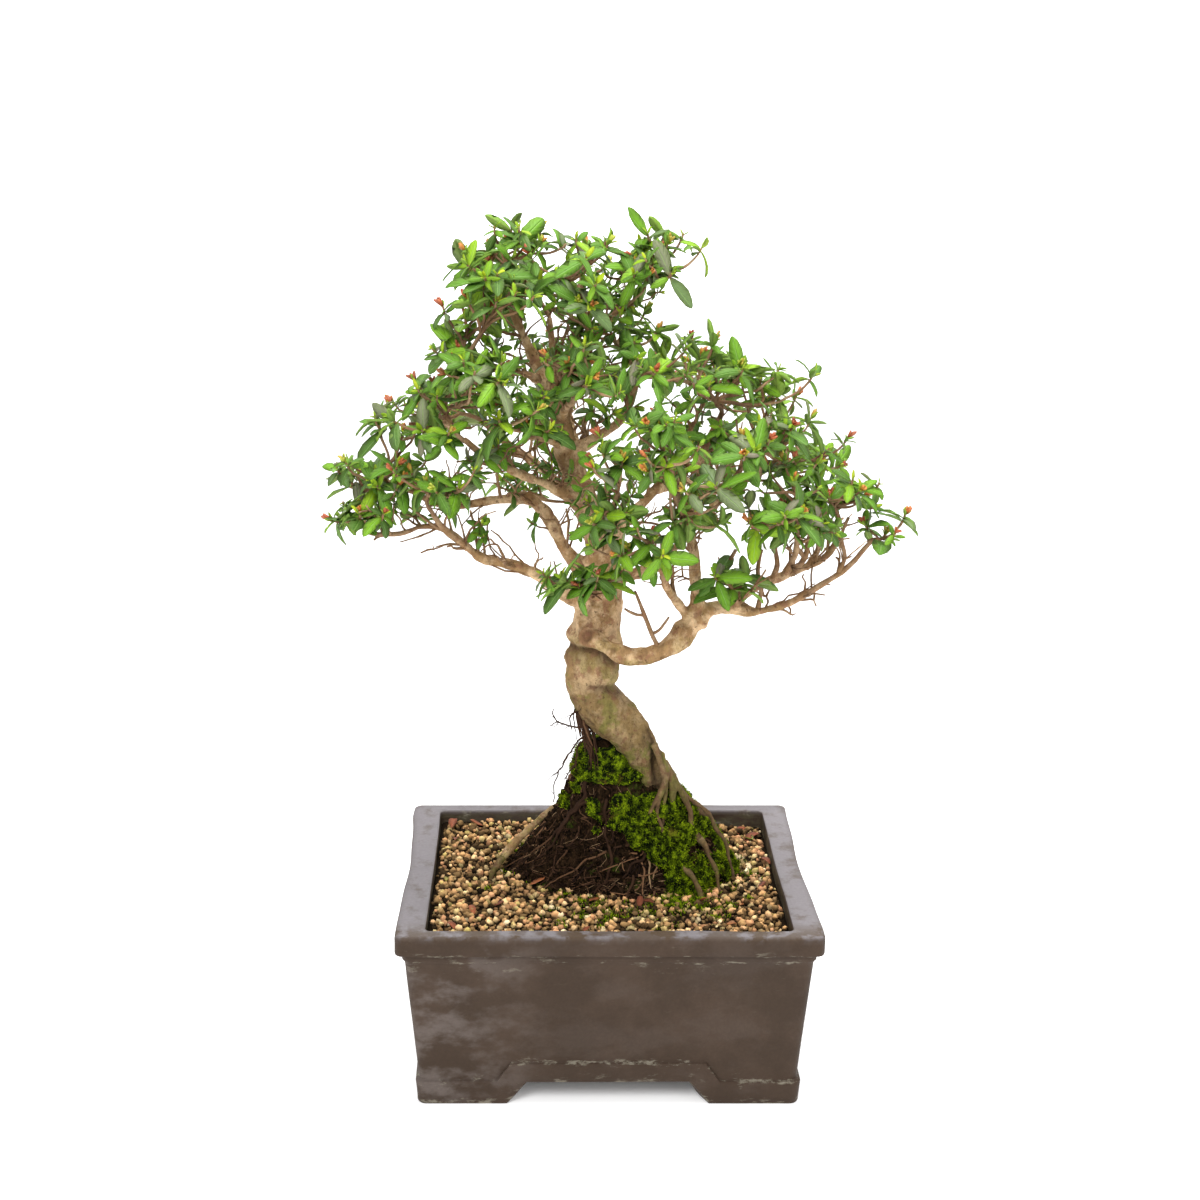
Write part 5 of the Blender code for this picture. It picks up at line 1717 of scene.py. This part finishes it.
        # Painted shade at each shoot's foot, a fifth of its tip's tone
        tips = np.clip(draws.normal(0.85, 0.2, count), 0.3, 1.2)
        shell.tones["height"] = np.stack([tips * 0.2, tips * 0.2, tips * 0.2, tips], axis=1).ravel()
        return shell

    def build(self, shop: Workshop, draws: Draws) -> None:
        """Makes the cushion and its shoots."""
        finish = Moss().material()
        shop.piece("moss_cushion", self.cushion(), finish, ("moss",))
        shop.piece("moss_shoots", self.pile(draws), finish)


@dataclass
class FineRoots:
    """The thin roots that net the mound and run out over the soil."""

    mound: Mound
    soil: Soil
    count: int = 560
    points: int = 16
    sides: int = 4
    run_sides: int = 6
    bundled: int = 34
    hairs: int = 7  # on each hanging root
    start_band: tuple[float, float] = (102, 68)  # lowest start, and how far up they go
    lowest: float = 92.5

    def run(self, route: Array, radius: float, shade: float) -> Shell:
        """One root that tapers to half its radius."""
        radii = np.linspace(radius, radius * 0.5, len(route))
        shell = tubes(route[None], radii[None], self.run_sides)
        shell.tones = {"shade": np.full(len(shell.points), shade)}
        return shell

    def crooked(self, route: Array, draws: Draws) -> Array:
        """A route whose points wander more and more from their places."""
        steps = np.cumsum(draws.normal(0, 0.42, route.shape), axis=0)
        return route + steps - steps[:1]

    def net(self, draws: Draws) -> Shell:
        """Roots at random: each runs down the mound from a start while its angle sways."""
        share = np.linspace(0, 1, self.points)[None]
        start = draws.uniform(0, TURN, (self.count, 1))
        bottom, band = self.start_band
        high = bottom + band * draws.random((self.count, 1)) ** 1.6
        low = np.maximum(high - draws.uniform(4, 44, (self.count, 1)), self.lowest)
        z = high + (low - high) * share
        sway = draws.uniform(-1, 1, (self.count, 1)) * 0.8 * share
        phase = draws.uniform(0, TURN, (self.count, 1))
        angle = start + sway + 0.09 * np.sin(phase + share * draws.uniform(4, 19, (self.count, 1)))
        z = z + 2.2 * np.sin(phase * 2 + share * draws.uniform(6, 24, (self.count, 1)))
        radius = 0.15 + 0.6 * draws.random((self.count, 1)) ** 4
        lift = radius * 0.8 + 0.5 * np.sin(phase * 3 + share * 17) + 0.3
        paths = self.mound.at(angle, z, lift)
        shell = tubes(paths, radius * (1 - 0.45 * share), self.sides)
        shade = np.clip(draws.normal(0.3, 0.22, self.count), 0.0, 0.7)
        shade = np.where(draws.random(self.count) < 0.08, 0.85, shade)
        shell.tones = {"shade": np.repeat(shade, len(shell.points) // self.count)}
        return shell

    def build(self, shop: Workshop, draws: Draws) -> None:
        """Makes the net of roots, those seen in front and the hanging ones."""
        shells = [self.net(draws)]
        for shade, radius, route in STRANDS:
            fine = resampled(route, 1.8)
            laid = self.mound.draped(fine + swaying(fine, 7, 51) * 1.3, self.soil, radius * 0.8)
            shells.append(self.run(laid, radius * 0.8, shade))
        bundle = resampled(BUNDLE, 2.5)
        for _ in range(self.bundled):
            first = int(draws.integers(0, 10))
            cut = bundle[first : first + int(draws.integers(5, 12))]
            if len(cut) > 3:
                path = self.crooked(cut + draws.normal(0, [1.6, 1.6, 1.0]), draws)
                shells.append(self.run(path, draws.uniform(0.25, 1.0), draws.uniform(0.1, 0.62)))
        for route in HANGING:
            path = self.crooked(resampled(route, 2.0), draws)
            shells.append(self.run(path, 0.62, 0.36))
            for spot in draws.integers(2, len(path) - 2, self.hairs):
                way = unit(draws.standard_normal(3) * [1, 1, 0.7] + [-0.5, 0, -0.4])
                hair = path[spot] + way * np.linspace(0, draws.uniform(4, 11), 8)[:, None]
                shells.append(self.run(self.crooked(hair, draws), 0.26, 0.35))
        shop.piece("fine_roots", merged(shells), FIBRES.material())


@dataclass
class Wood:
    """The trunk, the surface roots and the limbs, with a skin of bark."""

    thick: float = 2.1  # radius from which wood is fused with the trunk
    voxel: float = 1.0
    step: float = 2.4
    sides: int = 14
    thin_sides: int = 9
    block: int = 4000  # points that are compared with the routes at a time
    knot: tuple[float, float, float] = (-11.0, -14.0, 241.0)
    heart: tuple[float, float] = (6.0, 13.0)  # (x, y) towards which roots sink into the mound
    folds: tuple[tuple[float, float, tuple[tuple[float, float], ...]], ...] = (
        (2.6, 0.55, FOLD), (1.9, 0.25, LOWER_FOLD), (2.0, 0.0, RIGHT_CLEFT),
    )  # creases as (depth, share of it that the edge above swells by, points)

    def routes(self) -> dict[str, Array]:
        """All woody routes, resampled, with a wobble and nodes on all but the trunk."""
        stems = {f"stem_{number}": route for number, route in enumerate(STEMS)}
        table: Routes = {"trunk": TRUNK, **ROOTS, **LIMBS, **stems}
        made = {}
        for name, route in table.items():
            fine = resampled(route, self.step)
            place = fine[:, :3].copy()
            share = 0.3 if name == "trunk" else 1.0
            nodes = 0.17 * wander(place, 9, 41) + 0.13 * wander(place, 4.2, 42)
            ease = smoothed(0, 8, np.arange(len(fine)) * self.step)
            fine[:, :3] += swaying(place, 13, 43) * (0.9 * share * ease)[:, None]
            fine[:, 3] *= (1 + nodes * share * ease) * (0.86 + 0.14 * smoothed(3, 7, fine[:, 3]))
            if name in ROOTS and name != "left":
                deep = smoothed(150, 134, place[:, 2])
                inward = unit(np.array(self.heart) - place[:, :2])
                fine[:, :2] += inward * (deep * (1.5 + 2.4 * wander(place, 9, 46)))[:, None]
                fine[:, 3] *= 1 + 0.3 * deep * wander(place, 4.5, 47)
            made[name] = fine
        return made

    def crease(self, points: Array, line: Sequence[Sequence[float]], width: float) -> Array:
        """How near each point of the trunk's front is to a crease, as a bell curve of a width."""
        fine = resampled(np.insert(np.array(line, float), 1, 0, axis=1), 1.5)[:, [0, 2]]
        away = np.linalg.norm(points[:, None, [0, 2]] - fine[None], axis=2).min(axis=1)
        return bell(away, width) * smoothed(-6, -1, -points[:, 1])

    def dressed(self, shell: Shell, samples: Array) -> Shell:
        """Adds the bark's relief and tones, among them painted shade in its hollows and below its
        folds, to a skin.

        Every point takes the radius of the nearest place on a route. It moves along its own
        direction by noise in proportion to that radius, by wrinkles, and by bell curves of
        its distance from the knot and the folds.

        Args:
            shell: The skin, of quads.
            samples: Places on the routes with their radii.

        Returns:
            The shell, moved.
        """
        radius = np.empty(len(shell.points))
        for start in range(0, len(radius), self.block):
            block = slice(start, start + self.block)
            away = np.linalg.norm(shell.points[block, None] - samples[None, :, :3], axis=2)
            radius[block] = samples[(away - samples[:, 3]).argmin(axis=1), 3]
        facing = normals(shell)
        swell = 0.10 * np.minimum(radius, 13) * wander(shell.points, 23, 31)
        knobs = 0.12 * np.minimum(radius, 9) * wander(shell.points, 7.5, 32)
        wrinkles = np.abs(wander(shell.points, (7, 7, 3.4), 36)) - 0.4
        flakes = np.where(radius > 3, 0.36, 0.2) * layered(shell.points, 2.8, 2, 33)
        flakes = flakes + np.where(radius > 6, 0.7, 0.25) * wrinkles
        scar = np.linalg.norm(shell.points - np.array(self.knot), axis=1)
        knot = 1.5 * bell(scar - 4.4, 1.6) - 1.6 * bell(scar, 2.6)
        # Painted shade in the ring round the knot's sunk middle
        hollow = 0.35 * bell(scar - 2.4, 0.9)
        fold = np.zeros(len(radius))
        for depth, swelling, line in self.folds:
            near = self.crease(shell.points, line, 2.2)
            above = np.array(line) + np.array([0, 5.0])
            fold += swelling * depth * self.crease(shell.points, above, 4.2) - depth * near
            below = np.array(line) - np.array([0, 4.0])
            # Painted shade below each fold
            painted_shade_below = 0.14 * depth * self.crease(shell.points, below, 4.5)
            hollow = np.maximum(hollow, 0.28 * depth * near**1.5 + painted_shade_below)
        out = swell + knobs + flakes + knot + fold
        shell.points = shell.points + facing * out[:, None]
        # How deep a point lies between the flakes; half of it adds painted shade
        low = smoothed(0.2, 0.8, -flakes / np.where(radius > 6, 0.9, 0.45))
        x, _, z = shell.points.T
        young = 0.8 * (1 - smoothed(0.9, 2.6, radius)) * smoothed(190, 230, z)
        sunk = 0.75 * (1 - smoothed(132, 174, z)) * (1 - smoothed(4, 8, radius))
        shell.tones = {
            "shade": np.maximum(young, sunk * smoothed(-34, -14, x)),
            "low": (1 - smoothed(175, 262, z)) * (0.4 + 0.6 * smoothed(-40, -22, x)),
            "hollow": np.clip(np.maximum(hollow, low * 0.5), 0, 1),
            "scar": np.exp(-((scar / 5.5) ** 4)),
        }
        return shell

    def build(self, shop: Workshop) -> None:
        """Makes the fused wood and the thin ends of the limbs."""
        routes = self.routes()
        samples = np.vstack(list(routes.values()))
        thick, thin = [], []
        for name, route in routes.items():
            fat = np.flatnonzero(route[:, 3] >= self.thick)
            stop = int(fat.max()) + 2 if len(fat) else 0
            body = route[:stop]
            if len(body) > 1:
                thick.append(tubes(body[None, :, :3], body[None, :, 3], self.sides))
            end = route[max(stop - 2, 0) :]
            if len(end) > 2:
                tube = tubes(end[None, :, :3], end[None, :, 3], self.thin_sides)
                place = tube.points
                tube.points = place + unit(place) * 0.3 * layered(place, 3.0, 2, 35)[:, None]
                old = 0.75 if name in ROOTS else 0.8
                shade = old * (1 - smoothed(0.9, 2.6, np.repeat(end[:, 3], self.thin_sides)))
                tube.tones = {"shade": np.r_[shade, shade[:1], shade[-1:]]}
                tube.tones["low"] = 1 - smoothed(175, 262, place[:, 2])
                tube.tones["hollow"] = tube.tones["scar"] = np.zeros(len(place))
                thin.append(tube)
        skin = self.dressed(fused(merged(thick), self.voxel, 3), samples)
        bark = Bark("bark").material()
        shop.piece("wood", merged([skin, *thin]), bark, ("tree",))


@dataclass
class Foliage:
    """Twigs with their whorls of leaves and buds, and the bare twiglets along the limbs."""

    box_low: Array
    box_high: Array
    leaf_rows: tuple[float, ...] = (0.0, 0.12, 0.34, 0.6, 0.82, 0.95)
    scale_rows: tuple[float, ...] = (0.0, 0.35, 0.7, 0.93)
    golden: float = TURN * 0.382
    per_whorl: tuple[int, int] = (4, 7)
    lengths: tuple[float, float] = (9.5, 23.0)
    satellites: tuple[int, int] = (3, 7)
    twig_points: int = 13
    shoot_points: int = 9
    scales: int = 5  # of a bud
    budding: float = 0.4  # share of twigs with a bud
    leafy: tuple[float, float] = (0.26, 296.0)  # share of twiglets with leaves, above a height
    fresh: float = 0.05  # share of pale leaves
    # Grey leaves, whose grey paints a sheen
    old: float = 0.14  # share of grey leaves
    sparse: dict[str, tuple[float, float]] = field(
        default_factory=lambda: {"right_main": (0.55, 0.24), "right_inner": (0.3, 0.42)}
    )  # limbs with few twiglets: share of the limb before them, and number for each sample

    def leaves(
        self, base: Array, along: Array, above: Array, length: Array, width: Array,
        droop: Array, fold: Array, shade: Array, thickness: float = 0.42,
        rows: Sequence[float] | None = None,
    ) -> Shell:
        """Leaves: closed blades, pointed at the tip, folded at the midrib and bent along an arc.

        The blade's middle runs along an arc whose angle grows as droop t, its half width is
        width (3.0 t^0.86 (1 - t)^0.74) / 2, and its sides rise from the midrib by fold.

        Args:
            base: Foot of each leaf.
            along: Direction of each leaf.
            above: Direction of its upper face, square to along.
            length: Length.
            width: Greatest width.
            droop: Angle in radians by which the tip has turned down.
            fold: Rise of the sides, as a share of the half width.
            shade: Tone of the leaf's colour.
            thickness: Thickness.
            rows: Places of the rows of points along a leaf, or nothing for the usual ones.

        Returns:
            The leaves, with their tones and sheet.
        """
        t = np.array(rows or self.leaf_rows)
        profile = 3.0 * t**0.86 * (1 - t) ** 0.74
        half = width[:, None] / 2 * (profile + 0.085 * (1 - t))
        fine = np.linspace(0, 1, 25)
        angle = droop[:, None] * fine
        ahead = np.cumsum(np.cos(angle), axis=1) / 24
        down = np.cumsum(np.sin(angle), axis=1) / 24
        pick = np.round(t * 24).astype(int)
        gone, fall = ahead[:, pick] - ahead[:, :1], down[:, pick] - down[:, :1]
        bend = droop[:, None] * t
        middle = base[:, None] + length[:, None, None] * (
            gone[..., None] * along[:, None] - fall[..., None] * above[:, None]
        )
        lifted = np.cos(bend)[..., None] * above[:, None] + np.sin(bend)[..., None] * along[:, None]
        across = np.cross(above, along)[:, None]
        u = np.array([1.0, 0.0, -1.0, 0.0])
        under = np.array([0.5, 0, 0.5, 1])
        wave = 0.10 * np.sin(t * 9 + shade[:, None] * 40)[..., None] * np.abs(u) ** 2
        rise = fold[:, None, None] * np.abs(u) ** 1.4 + wave
        points = middle[:, :, None] + half[..., None, None] * u[:, None] * across[:, :, None]
        lift = half[..., None] * rise - thickness * (under > 0.9)
        points = points + lift[..., None] * lifted[:, :, None]
        end = middle[:, -1] + (middle[:, -1] - middle[:, -2]) * 0.42
        shell = capped(points, middle[:, 0], end)
        low = np.r_[np.tile(under, len(t)), 0.5, 0.5]
        sheet = np.stack([np.tile(u, len(t)), np.repeat(t, len(u))], axis=1)
        sheet = np.vstack([sheet, [[0, 0], [0, 1]]])
        shell.tones = {"shade": np.repeat(shade, len(low)), "under": np.tile(low, len(base))}
        shell.sheet = np.tile(sheet, (len(base), 1))
        return shell

    def rosettes(self, tips: Array, axes: Array, sizes: Array, draws: Draws) -> Shell:
        """Whorls of leaves: each leaf turns from the last by the golden angle and stands higher.

        Args:
            tips: Ends of the twigs.
            axes: The twigs' directions there.
            sizes: A scale for each whorl.
            draws: Source of random numbers.

        Returns:
            The leaves.
        """
        counts = draws.integers(self.per_whorl[0], self.per_whorl[1] + 1, len(tips)) + 3
        owner = np.repeat(np.arange(len(tips)), counts)
        order = np.concatenate([np.arange(count) for count in counts])
        total = counts[owner]
        young = order >= total - 3
        inner = order / total
        axis = axes[owner]
        turn = order * self.golden + draws.uniform(0, TURN, len(tips))[owner]
        turn = turn + draws.normal(0, 0.35, len(owner))
        rise = np.radians(-4 + 58 * inner**1.1 + draws.normal(0, 17, len(owner)))
        rise = np.where(young, np.radians(draws.uniform(48, 78, len(owner))), rise)
        along, above = raised(axis, (0.31, 0.77, 0.56), turn, rise)
        twist = draws.normal(0, 0.38, (len(owner), 1))
        above = unit(above + twist * np.cross(along, above))
        small, large = self.lengths
        length = small + (large - small) * draws.random(len(owner)) ** 1.35
        length = length * (1.1 - 0.42 * inner)
        length = np.where(young, draws.uniform(4.0, 8.0, len(owner)), length) * sizes[owner]
        width = length * draws.uniform(0.32, 0.43, len(owner))
        base = tips[owner] - axis * ((1 - inner) * 4.0)[:, None]
        end = base + along * length[:, None]
        out = np.maximum(self.box_low - end, end - self.box_high).max(axis=1)
        length = np.where(out > 0, length - out - 0.5, length)
        keep = length > 3
        droop = draws.normal(0.25, 0.38, len(owner)) + 0.25 * (1 - inner)
        shade = np.clip(draws.normal(0.29, 0.16, len(owner)) + 0.28 * inner, 0.13, 1)
        fresh = draws.random(len(owner)) < self.fresh
        shade = np.where(fresh, draws.uniform(0.5, 0.72, len(owner)), shade)
        shade = np.where(young, draws.uniform(0.62, 1.0, len(owner)), shade)
        # Grey leaves, whose grey paints a sheen of the bright surroundings
        old = ~young & (draws.random(len(owner)) < self.old)
        shade = np.where(old, draws.uniform(0.0, 0.10, len(owner)), shade)
        fold = draws.uniform(0.12, 0.42, len(owner))
        return self.leaves(
            base[keep], along[keep], above[keep], length[keep], width[keep],
            droop[keep], fold[keep], shade[keep],
        )

    def buds(self, tips: Array, axes: Array, draws: Draws) -> Shell:
        """Bud scales: five short upright blades round each tip."""
        owner = np.repeat(np.arange(len(tips)), self.scales)
        axis = axes[owner]
        turn = np.tile(np.arange(self.scales) * self.golden, len(tips))
        turn = turn + draws.normal(0, 0.3, len(owner))
        rise = np.radians(draws.uniform(48, 84, len(owner)))
        along, above = raised(axis, (0.55, 0.21, 0.81), turn, rise)
        length = draws.uniform(3.0, 5.6, len(owner))
        kind = draws.uniform(0.1, 1.0, len(tips))[owner] + draws.normal(0, 0.08, len(owner))
        return self.leaves(
            tips[owner] + axis * 0.6, along, above, length, length * 0.42,
            np.full(len(owner), -0.35), np.full(len(owner), 0.6), np.clip(kind, 0, 1), 0.7,
            self.scale_rows,
        )

    def twig(self, start: Array, heading: Array, end: Array) -> Array:
        """Points of a twig on a cubic curve from a start with a heading up to its rising tip."""
        reach = np.linalg.norm(end - start)
        first = start + heading * reach * 0.35
        rise = unit((end - start) / reach * 0.6 + np.array([0.0, 0.0, 0.8]))
        second = end - rise * reach * 0.35
        t = np.linspace(0, 1, self.twig_points)[:, None]
        s = 1 - t
        path = start * s**3 + first * 3 * s * s * t + second * 3 * s * t * t + end * t**3
        return path + swaying(path, 6.5, 61) * 1.5 * np.sin(math.pi * t)

    def spray(self, limb: str, draws: Draws) -> tuple[Shell, Shell, Shell]:
        """The leaves, buds and twigs on the end of a limb.

        The first whorl's twig carries the limb on, the others fork from its middle, and each
        has smaller whorls round it at random.

        Args:
            limb: Name of the limb.
            draws: Source of random numbers.

        Returns:
            Leaves, buds and twigs.
        """
        route = np.array(LIMBS[limb], float)[:, :3]
        start, heading = route[-1], unit(route[-1] - route[-2])
        grown: list[tuple[Array, Array, Array, Array, float]] = []
        for end in np.array(WHORLS[limb], float):
            if grown:
                stem = grown[0][0]
                main = self.twig(stem[6], unit(stem[7] - stem[6]), end)
            else:
                main = self.twig(start - heading, heading, end)
            axis = unit(main[-1] - main[-2])
            grown.append((main, self.knobbly(main, 1.25, 0.75), end, axis, 1.0))
            for _ in range(int(draws.integers(*self.satellites))):
                fork = int(draws.integers(5, 10))
                turn = draws.uniform(0, TURN)
                away = np.array([math.cos(turn), math.sin(turn) * 0.9, draws.uniform(-0.3, 0.75)])
                side = end + away * draws.uniform(9, 20)
                side = np.clip(side, self.box_low + 8, self.box_high - 8)
                path = self.twig(main[fork], unit(main[fork + 1] - main[fork]), side)
                axis = unit(unit(path[-1] - path[-2]) + away * 0.5)
                size = draws.uniform(0.5, 0.95)
                grown.append((path, self.knobbly(path, 0.9, 0.55), side, axis, size))
        twigs, radii, tips, axes, sizes = (np.array(column) for column in zip(*grown))
        leaves = self.rosettes(tips, axes, sizes, draws)
        budding = draws.random(len(tips)) < self.budding
        budding[0] = True
        buds = self.buds(tips[budding], axes[budding], draws)
        return leaves, buds, self.barked(tubes(twigs, radii, 5))

    def knobbly(self, path: Array, thick: float, thin: float) -> Array:
        """Radii along a twig, with a node here and there."""
        return np.linspace(thick, thin, len(path)) * (1 + 0.28 * wander(path, 3.1, 64))

    def barked(self, wood: Shell) -> Shell:
        """The twigs with the tones that bark reads."""
        none = np.zeros(len(wood.points))
        shade = np.clip(0.72 + 0.45 * wander(wood.points, 14, 65), 0, 1)
        wood.tones = {"shade": shade, "low": none, "hollow": none, "scar": none}
        return wood

    def shoots(
        self, start: Array, way: Array, lengths: tuple[float, float], draws: Draws
    ) -> Array:
        """Crooked shoots that leave a limb, bent by a random arc and by noise.

        Args:
            start: Foot of each shoot.
            way: The limb's direction there.
            lengths: The least and the greatest length.
            draws: Source of random numbers.

        Returns:
            Points as (shoot, point, coordinate).
        """
        count = len(start)
        away = unit(np.cross(way, draws.standard_normal((count, 3))))
        away = unit(away + 0.6 * way + np.array([0, 0, 0.75]))
        length = draws.uniform(*lengths, (count, 1, 1))
        share = np.linspace(0, 1, self.shoot_points)[None, :, None]
        bend = draws.normal(0, 0.3, (count, 1, 3)) * length
        path = start[:, None] + away[:, None] * length * share + bend * share**2
        return path + swaying(path, 4.6, 66) * 2.2 * share

    def twiglets(self, draws: Draws) -> tuple[Shell, Array, Array]:
        """Fine twigs on the limbs, which fork once.

        Args:
            draws: Source of random numbers.

        Returns:
            The twigs, and the ends and directions of those that carry leaves.
        """
        starts, ways = [], []
        for name, route in LIMBS.items():
            fine = resampled(route, 4.0)
            first_spot, dense = self.sparse.get(name, (0.12, 0.8))
            bare = int(len(fine) * first_spot)
            number = max(3, int(len(fine) * dense))
            spots = draws.integers(bare + 1, len(fine) - 1, number)
            starts.append(fine[spots, :3])
            ways.append(unit(fine[spots + 1, :3] - fine[spots, :3]))
        first = self.shoots(np.vstack(starts), np.vstack(ways), (9, 27), draws)
        owner = draws.integers(0, len(first), len(first))
        spot = draws.integers(3, 7, len(first))
        start = first[owner, spot]
        second = self.shoots(start, unit(first[owner, spot + 1] - start), (6, 15), draws)
        paths = np.concatenate([first, second])
        thick = np.r_[draws.uniform(0.55, 1.05, len(first)), draws.uniform(0.4, 0.7, len(second))]
        radii = thick[:, None] * np.linspace(1, 0.55, self.shoot_points)
        radii = radii * (1 + 0.25 * wander(paths, 3.1, 64))
        share, lowest = self.leafy
        leafy = (draws.random(len(paths)) < share) & (paths[:, -1, 2] > lowest)
        ends = paths[leafy, -1]
        return self.barked(tubes(paths, radii, 4)), ends, unit(ends - paths[leafy, -2])

    def build(self, shop: Workshop, draws: Draws) -> None:
        """Makes a piece of leaves for each spray, and one piece each of buds and twigs."""
        leaf = Leaf().material()
        bare, ends, ways = self.twiglets(draws)
        inner = self.rosettes(ends, ways, draws.uniform(0.35, 0.7, len(ends)), draws)
        shop.piece("leaves_inner", inner, leaf)
        every_bud, every_twig = [], [bare]
        for limb in LIMBS:
            if limb in WHORLS:
                leaves, buds, twigs = self.spray(limb, draws)
                shop.piece("leaves_" + limb, leaves, leaf, ("spray_" + limb,))
                every_bud.append(buds)
                every_twig.append(twigs)
        shop.piece("buds", merged(every_bud), BUD_SCALES.material())
        shop.piece("twigs", merged(every_twig), Bark("twig_bark").material())


@dataclass
class Litter:
    """Leaves that have fallen on the soil."""

    foliage: Foliage
    soil: Soil
    spots: tuple[tuple[float, float, float, float], ...] = (
        (92, 60, 0.25, 12), (84, 69, 0.4, 11), (87, 50, 0.95, 12), (46, -19, 0.1, 10),
        (50, -31, 0.3, 9), (18, -32, 0.2, 8), (-4, -27, 0.5, 8), (-42, -14, 0.55, 10),
        (-85, 40, 0.3, 11), (-87, -6, 0.9, 6), (-73, -41, 0.5, 9), (-25, -45, 0.2, 6),
        (93, 16, 0.3, 9), (88, -6, 0.15, 7), (68, 23, 0.95, 8), (77, -30, 0.6, 8),
        (-55, -34, 0.1, 7), (17, -40, 0.15, 9), (-88, 60, 0.35, 12), (76, 39, 0.2, 10),
        (52, -1, 0.0, 8), (6, -44, 0.1, 9), (-70, 62, 0.5, 8), (-30, 66, 0.2, 9),
        (40, 68, 0.4, 10), (62, -56, 0.7, 7), (-10, -60, 0.3, 7), (-84, -60, 0.4, 8),
    )  # (x, y, shade, length)

    def build(self, shop: Workshop, draws: Draws) -> None:
        """Makes the fallen leaves."""
        x, y, shade, length = np.array(self.spots, float).T
        count = len(x)
        turn = draws.uniform(0, TURN, count)
        tilt = draws.normal(0.1, 0.3, count)
        along = unit(np.stack([np.cos(turn), np.sin(turn), tilt], axis=1))
        above = unit(np.array([[0, 0, 1.0]]) - along * along[:, 2:])
        base = np.column_stack([x, y, self.soil.height(x, y) + 2.7])
        droop = draws.normal(0.2, 0.6, count)
        blades = self.foliage.leaves(
            base, along, above, length, length * 0.42, droop, draws.uniform(0.2, 0.7, count), shade
        )
        shop.piece("fallen_leaves", blades, DryLeaf().material())


@dataclass
class Studio:
    """The camera, a pale floor that glows with painted light but for a painted shadow round the
    pot, and soft lights.
    """

    shift: tuple[float, float, float]
    camera: tuple[float, float, float] = (-31.7, -931.0, 549.7)
    pitch: float = 17.49
    focal: float = 1850.0  # in pixels of a picture 1200 wide
    width: float = 1200.0
    middle: float = 548.0  # the optical axis, in pixels from the left
    paper: Colour = (0.85, 0.85, 0.85)
    half: tuple[float, float] = (100.0, 82.0)  # the pot's shadow, where the floor doesn't glow
    sweep: tuple[float, float, float] = (4.0, 2.6, 4.0)  # to the side, back and top, in metres
    lights: tuple[tuple[str, tuple[float, float, float], float, float], ...] = (
        ("key", (-0.5, -1.3, 1.5), 0.7, 26.0),
        ("fill", (1.2, -0.9, 0.9), 1.2, 6.0),
        ("top", (0.2, 0.1, 1.7), 0.9, 26.0),
    )  # (name, place, size, power)

    def _light(self, name: str, place: Sequence[float], size: float, power: float) -> None:
        """A soft square light that faces the tree's middle."""
        lamp = bpy.data.lights.new(name, "AREA")
        lamp.size = size
        lamp.energy = power
        thing = bpy.data.objects.new(name, lamp)
        thing.location = place
        x, y, z = np.array(place) - np.array([0.0, 0.0, 0.22])
        thing.rotation_euler = Euler((math.atan2(math.hypot(x, y), z), 0, math.atan2(x, -y)))
        bpy.context.scene.collection.objects.link(thing)

    def build(self) -> None:
        """Sets the stage."""
        scene = bpy.context.scene
        scene.view_settings.view_transform = "Standard"
        lens = bpy.data.cameras.new("camera")
        lens.sensor_width = 36.0
        lens.lens = self.focal / self.width * lens.sensor_width
        lens.shift_x = (self.width / 2 - self.middle) / self.width
        view = bpy.data.objects.new("camera", lens)
        view.location = (np.array(self.camera) + np.array(self.shift)) * MM
        view.rotation_euler = Euler((math.radians(90 - self.pitch), 0, 0))
        scene.collection.objects.link(view)
        scene.camera = view
        world = bpy.data.worlds.new("studio")
        scene.world = world
        world.use_nodes = True
        sky = world.node_tree.nodes["Background"]
        sky.inputs["Color"].default_value = (1, 1, 1, 1)
        sky.inputs["Strength"].default_value = 0.5
        side, back, top = self.sweep
        corners = [(-side, -side, 0), (side, -side, 0), (side, back, 0), (-side, back, 0)]
        corners += [(side, back, top), (-side, back, top)]
        sweep = bpy.data.meshes.new("sweep")
        sweep.from_pydata(corners, [], [(0, 1, 2, 3), (3, 2, 4, 5)])
        floor, wall = Graph("paper"), Graph("paper_back")
        # The floor glows with painted light except round the pot's foot, which leaves a painted
        # shadow
        beyond = [
            floor.number("ABSOLUTE", floor.axis(axis), 0.0) - half
            for axis, half in zip("XY", self.half)
        ]
        glow = floor.number("MAXIMUM", *beyond).band(-30.0, 24.0) * 0.45
        glow = floor.darkened((1.0, 1.0, 1.0), glow)
        for graph, light in ((floor, glow), (wall, (1.0, 1.0, 1.0))):
            finish = graph.finished(self.paper, 0.9, Emission_Color=light, Emission_Strength=1.0)
            sweep.materials.append(finish)
        sweep.polygons[1].material_index = 1
        backdrop = bpy.data.objects.new("sweep", sweep)
        scene.collection.objects.link(backdrop)
        backdrop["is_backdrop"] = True
        for light in self.lights:
            self._light(*light)


def main() -> None:
    """Builds every sub-assembly in order and notes the sizes."""
    logging.basicConfig(level=logging.INFO, format="%(name)s %(message)s")
    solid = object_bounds()
    low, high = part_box("pot")
    shift = ((low[0] + high[0]) / 2 / MM, (low[1] + high[1]) / 2 / MM, low[2] / MM)
    shop = Workshop(shift)
    draws = np.random.default_rng(20)
    pot = Pot()
    mound = Mound()
    soil = Soil(pot, mound)
    box = np.array([solid[0], solid[1]], float) / MM - np.array(shift)
    foliage = Foliage(box[0] + np.array([7.0, -1.0, -1.0]), box[1] + 1.0)
    Studio(shift).build()
    pot.build(shop)
    soil.build(shop, draws)
    mound.build(shop, draws)
    MossCushion(mound, soil).build(shop, draws)
    FineRoots(mound, soil).build(shop, draws)
    Wood().build(shop)
    foliage.build(shop, draws)
    Litter(foliage, soil).build(shop, draws)
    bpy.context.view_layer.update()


if __name__ == "__main__":
    main()
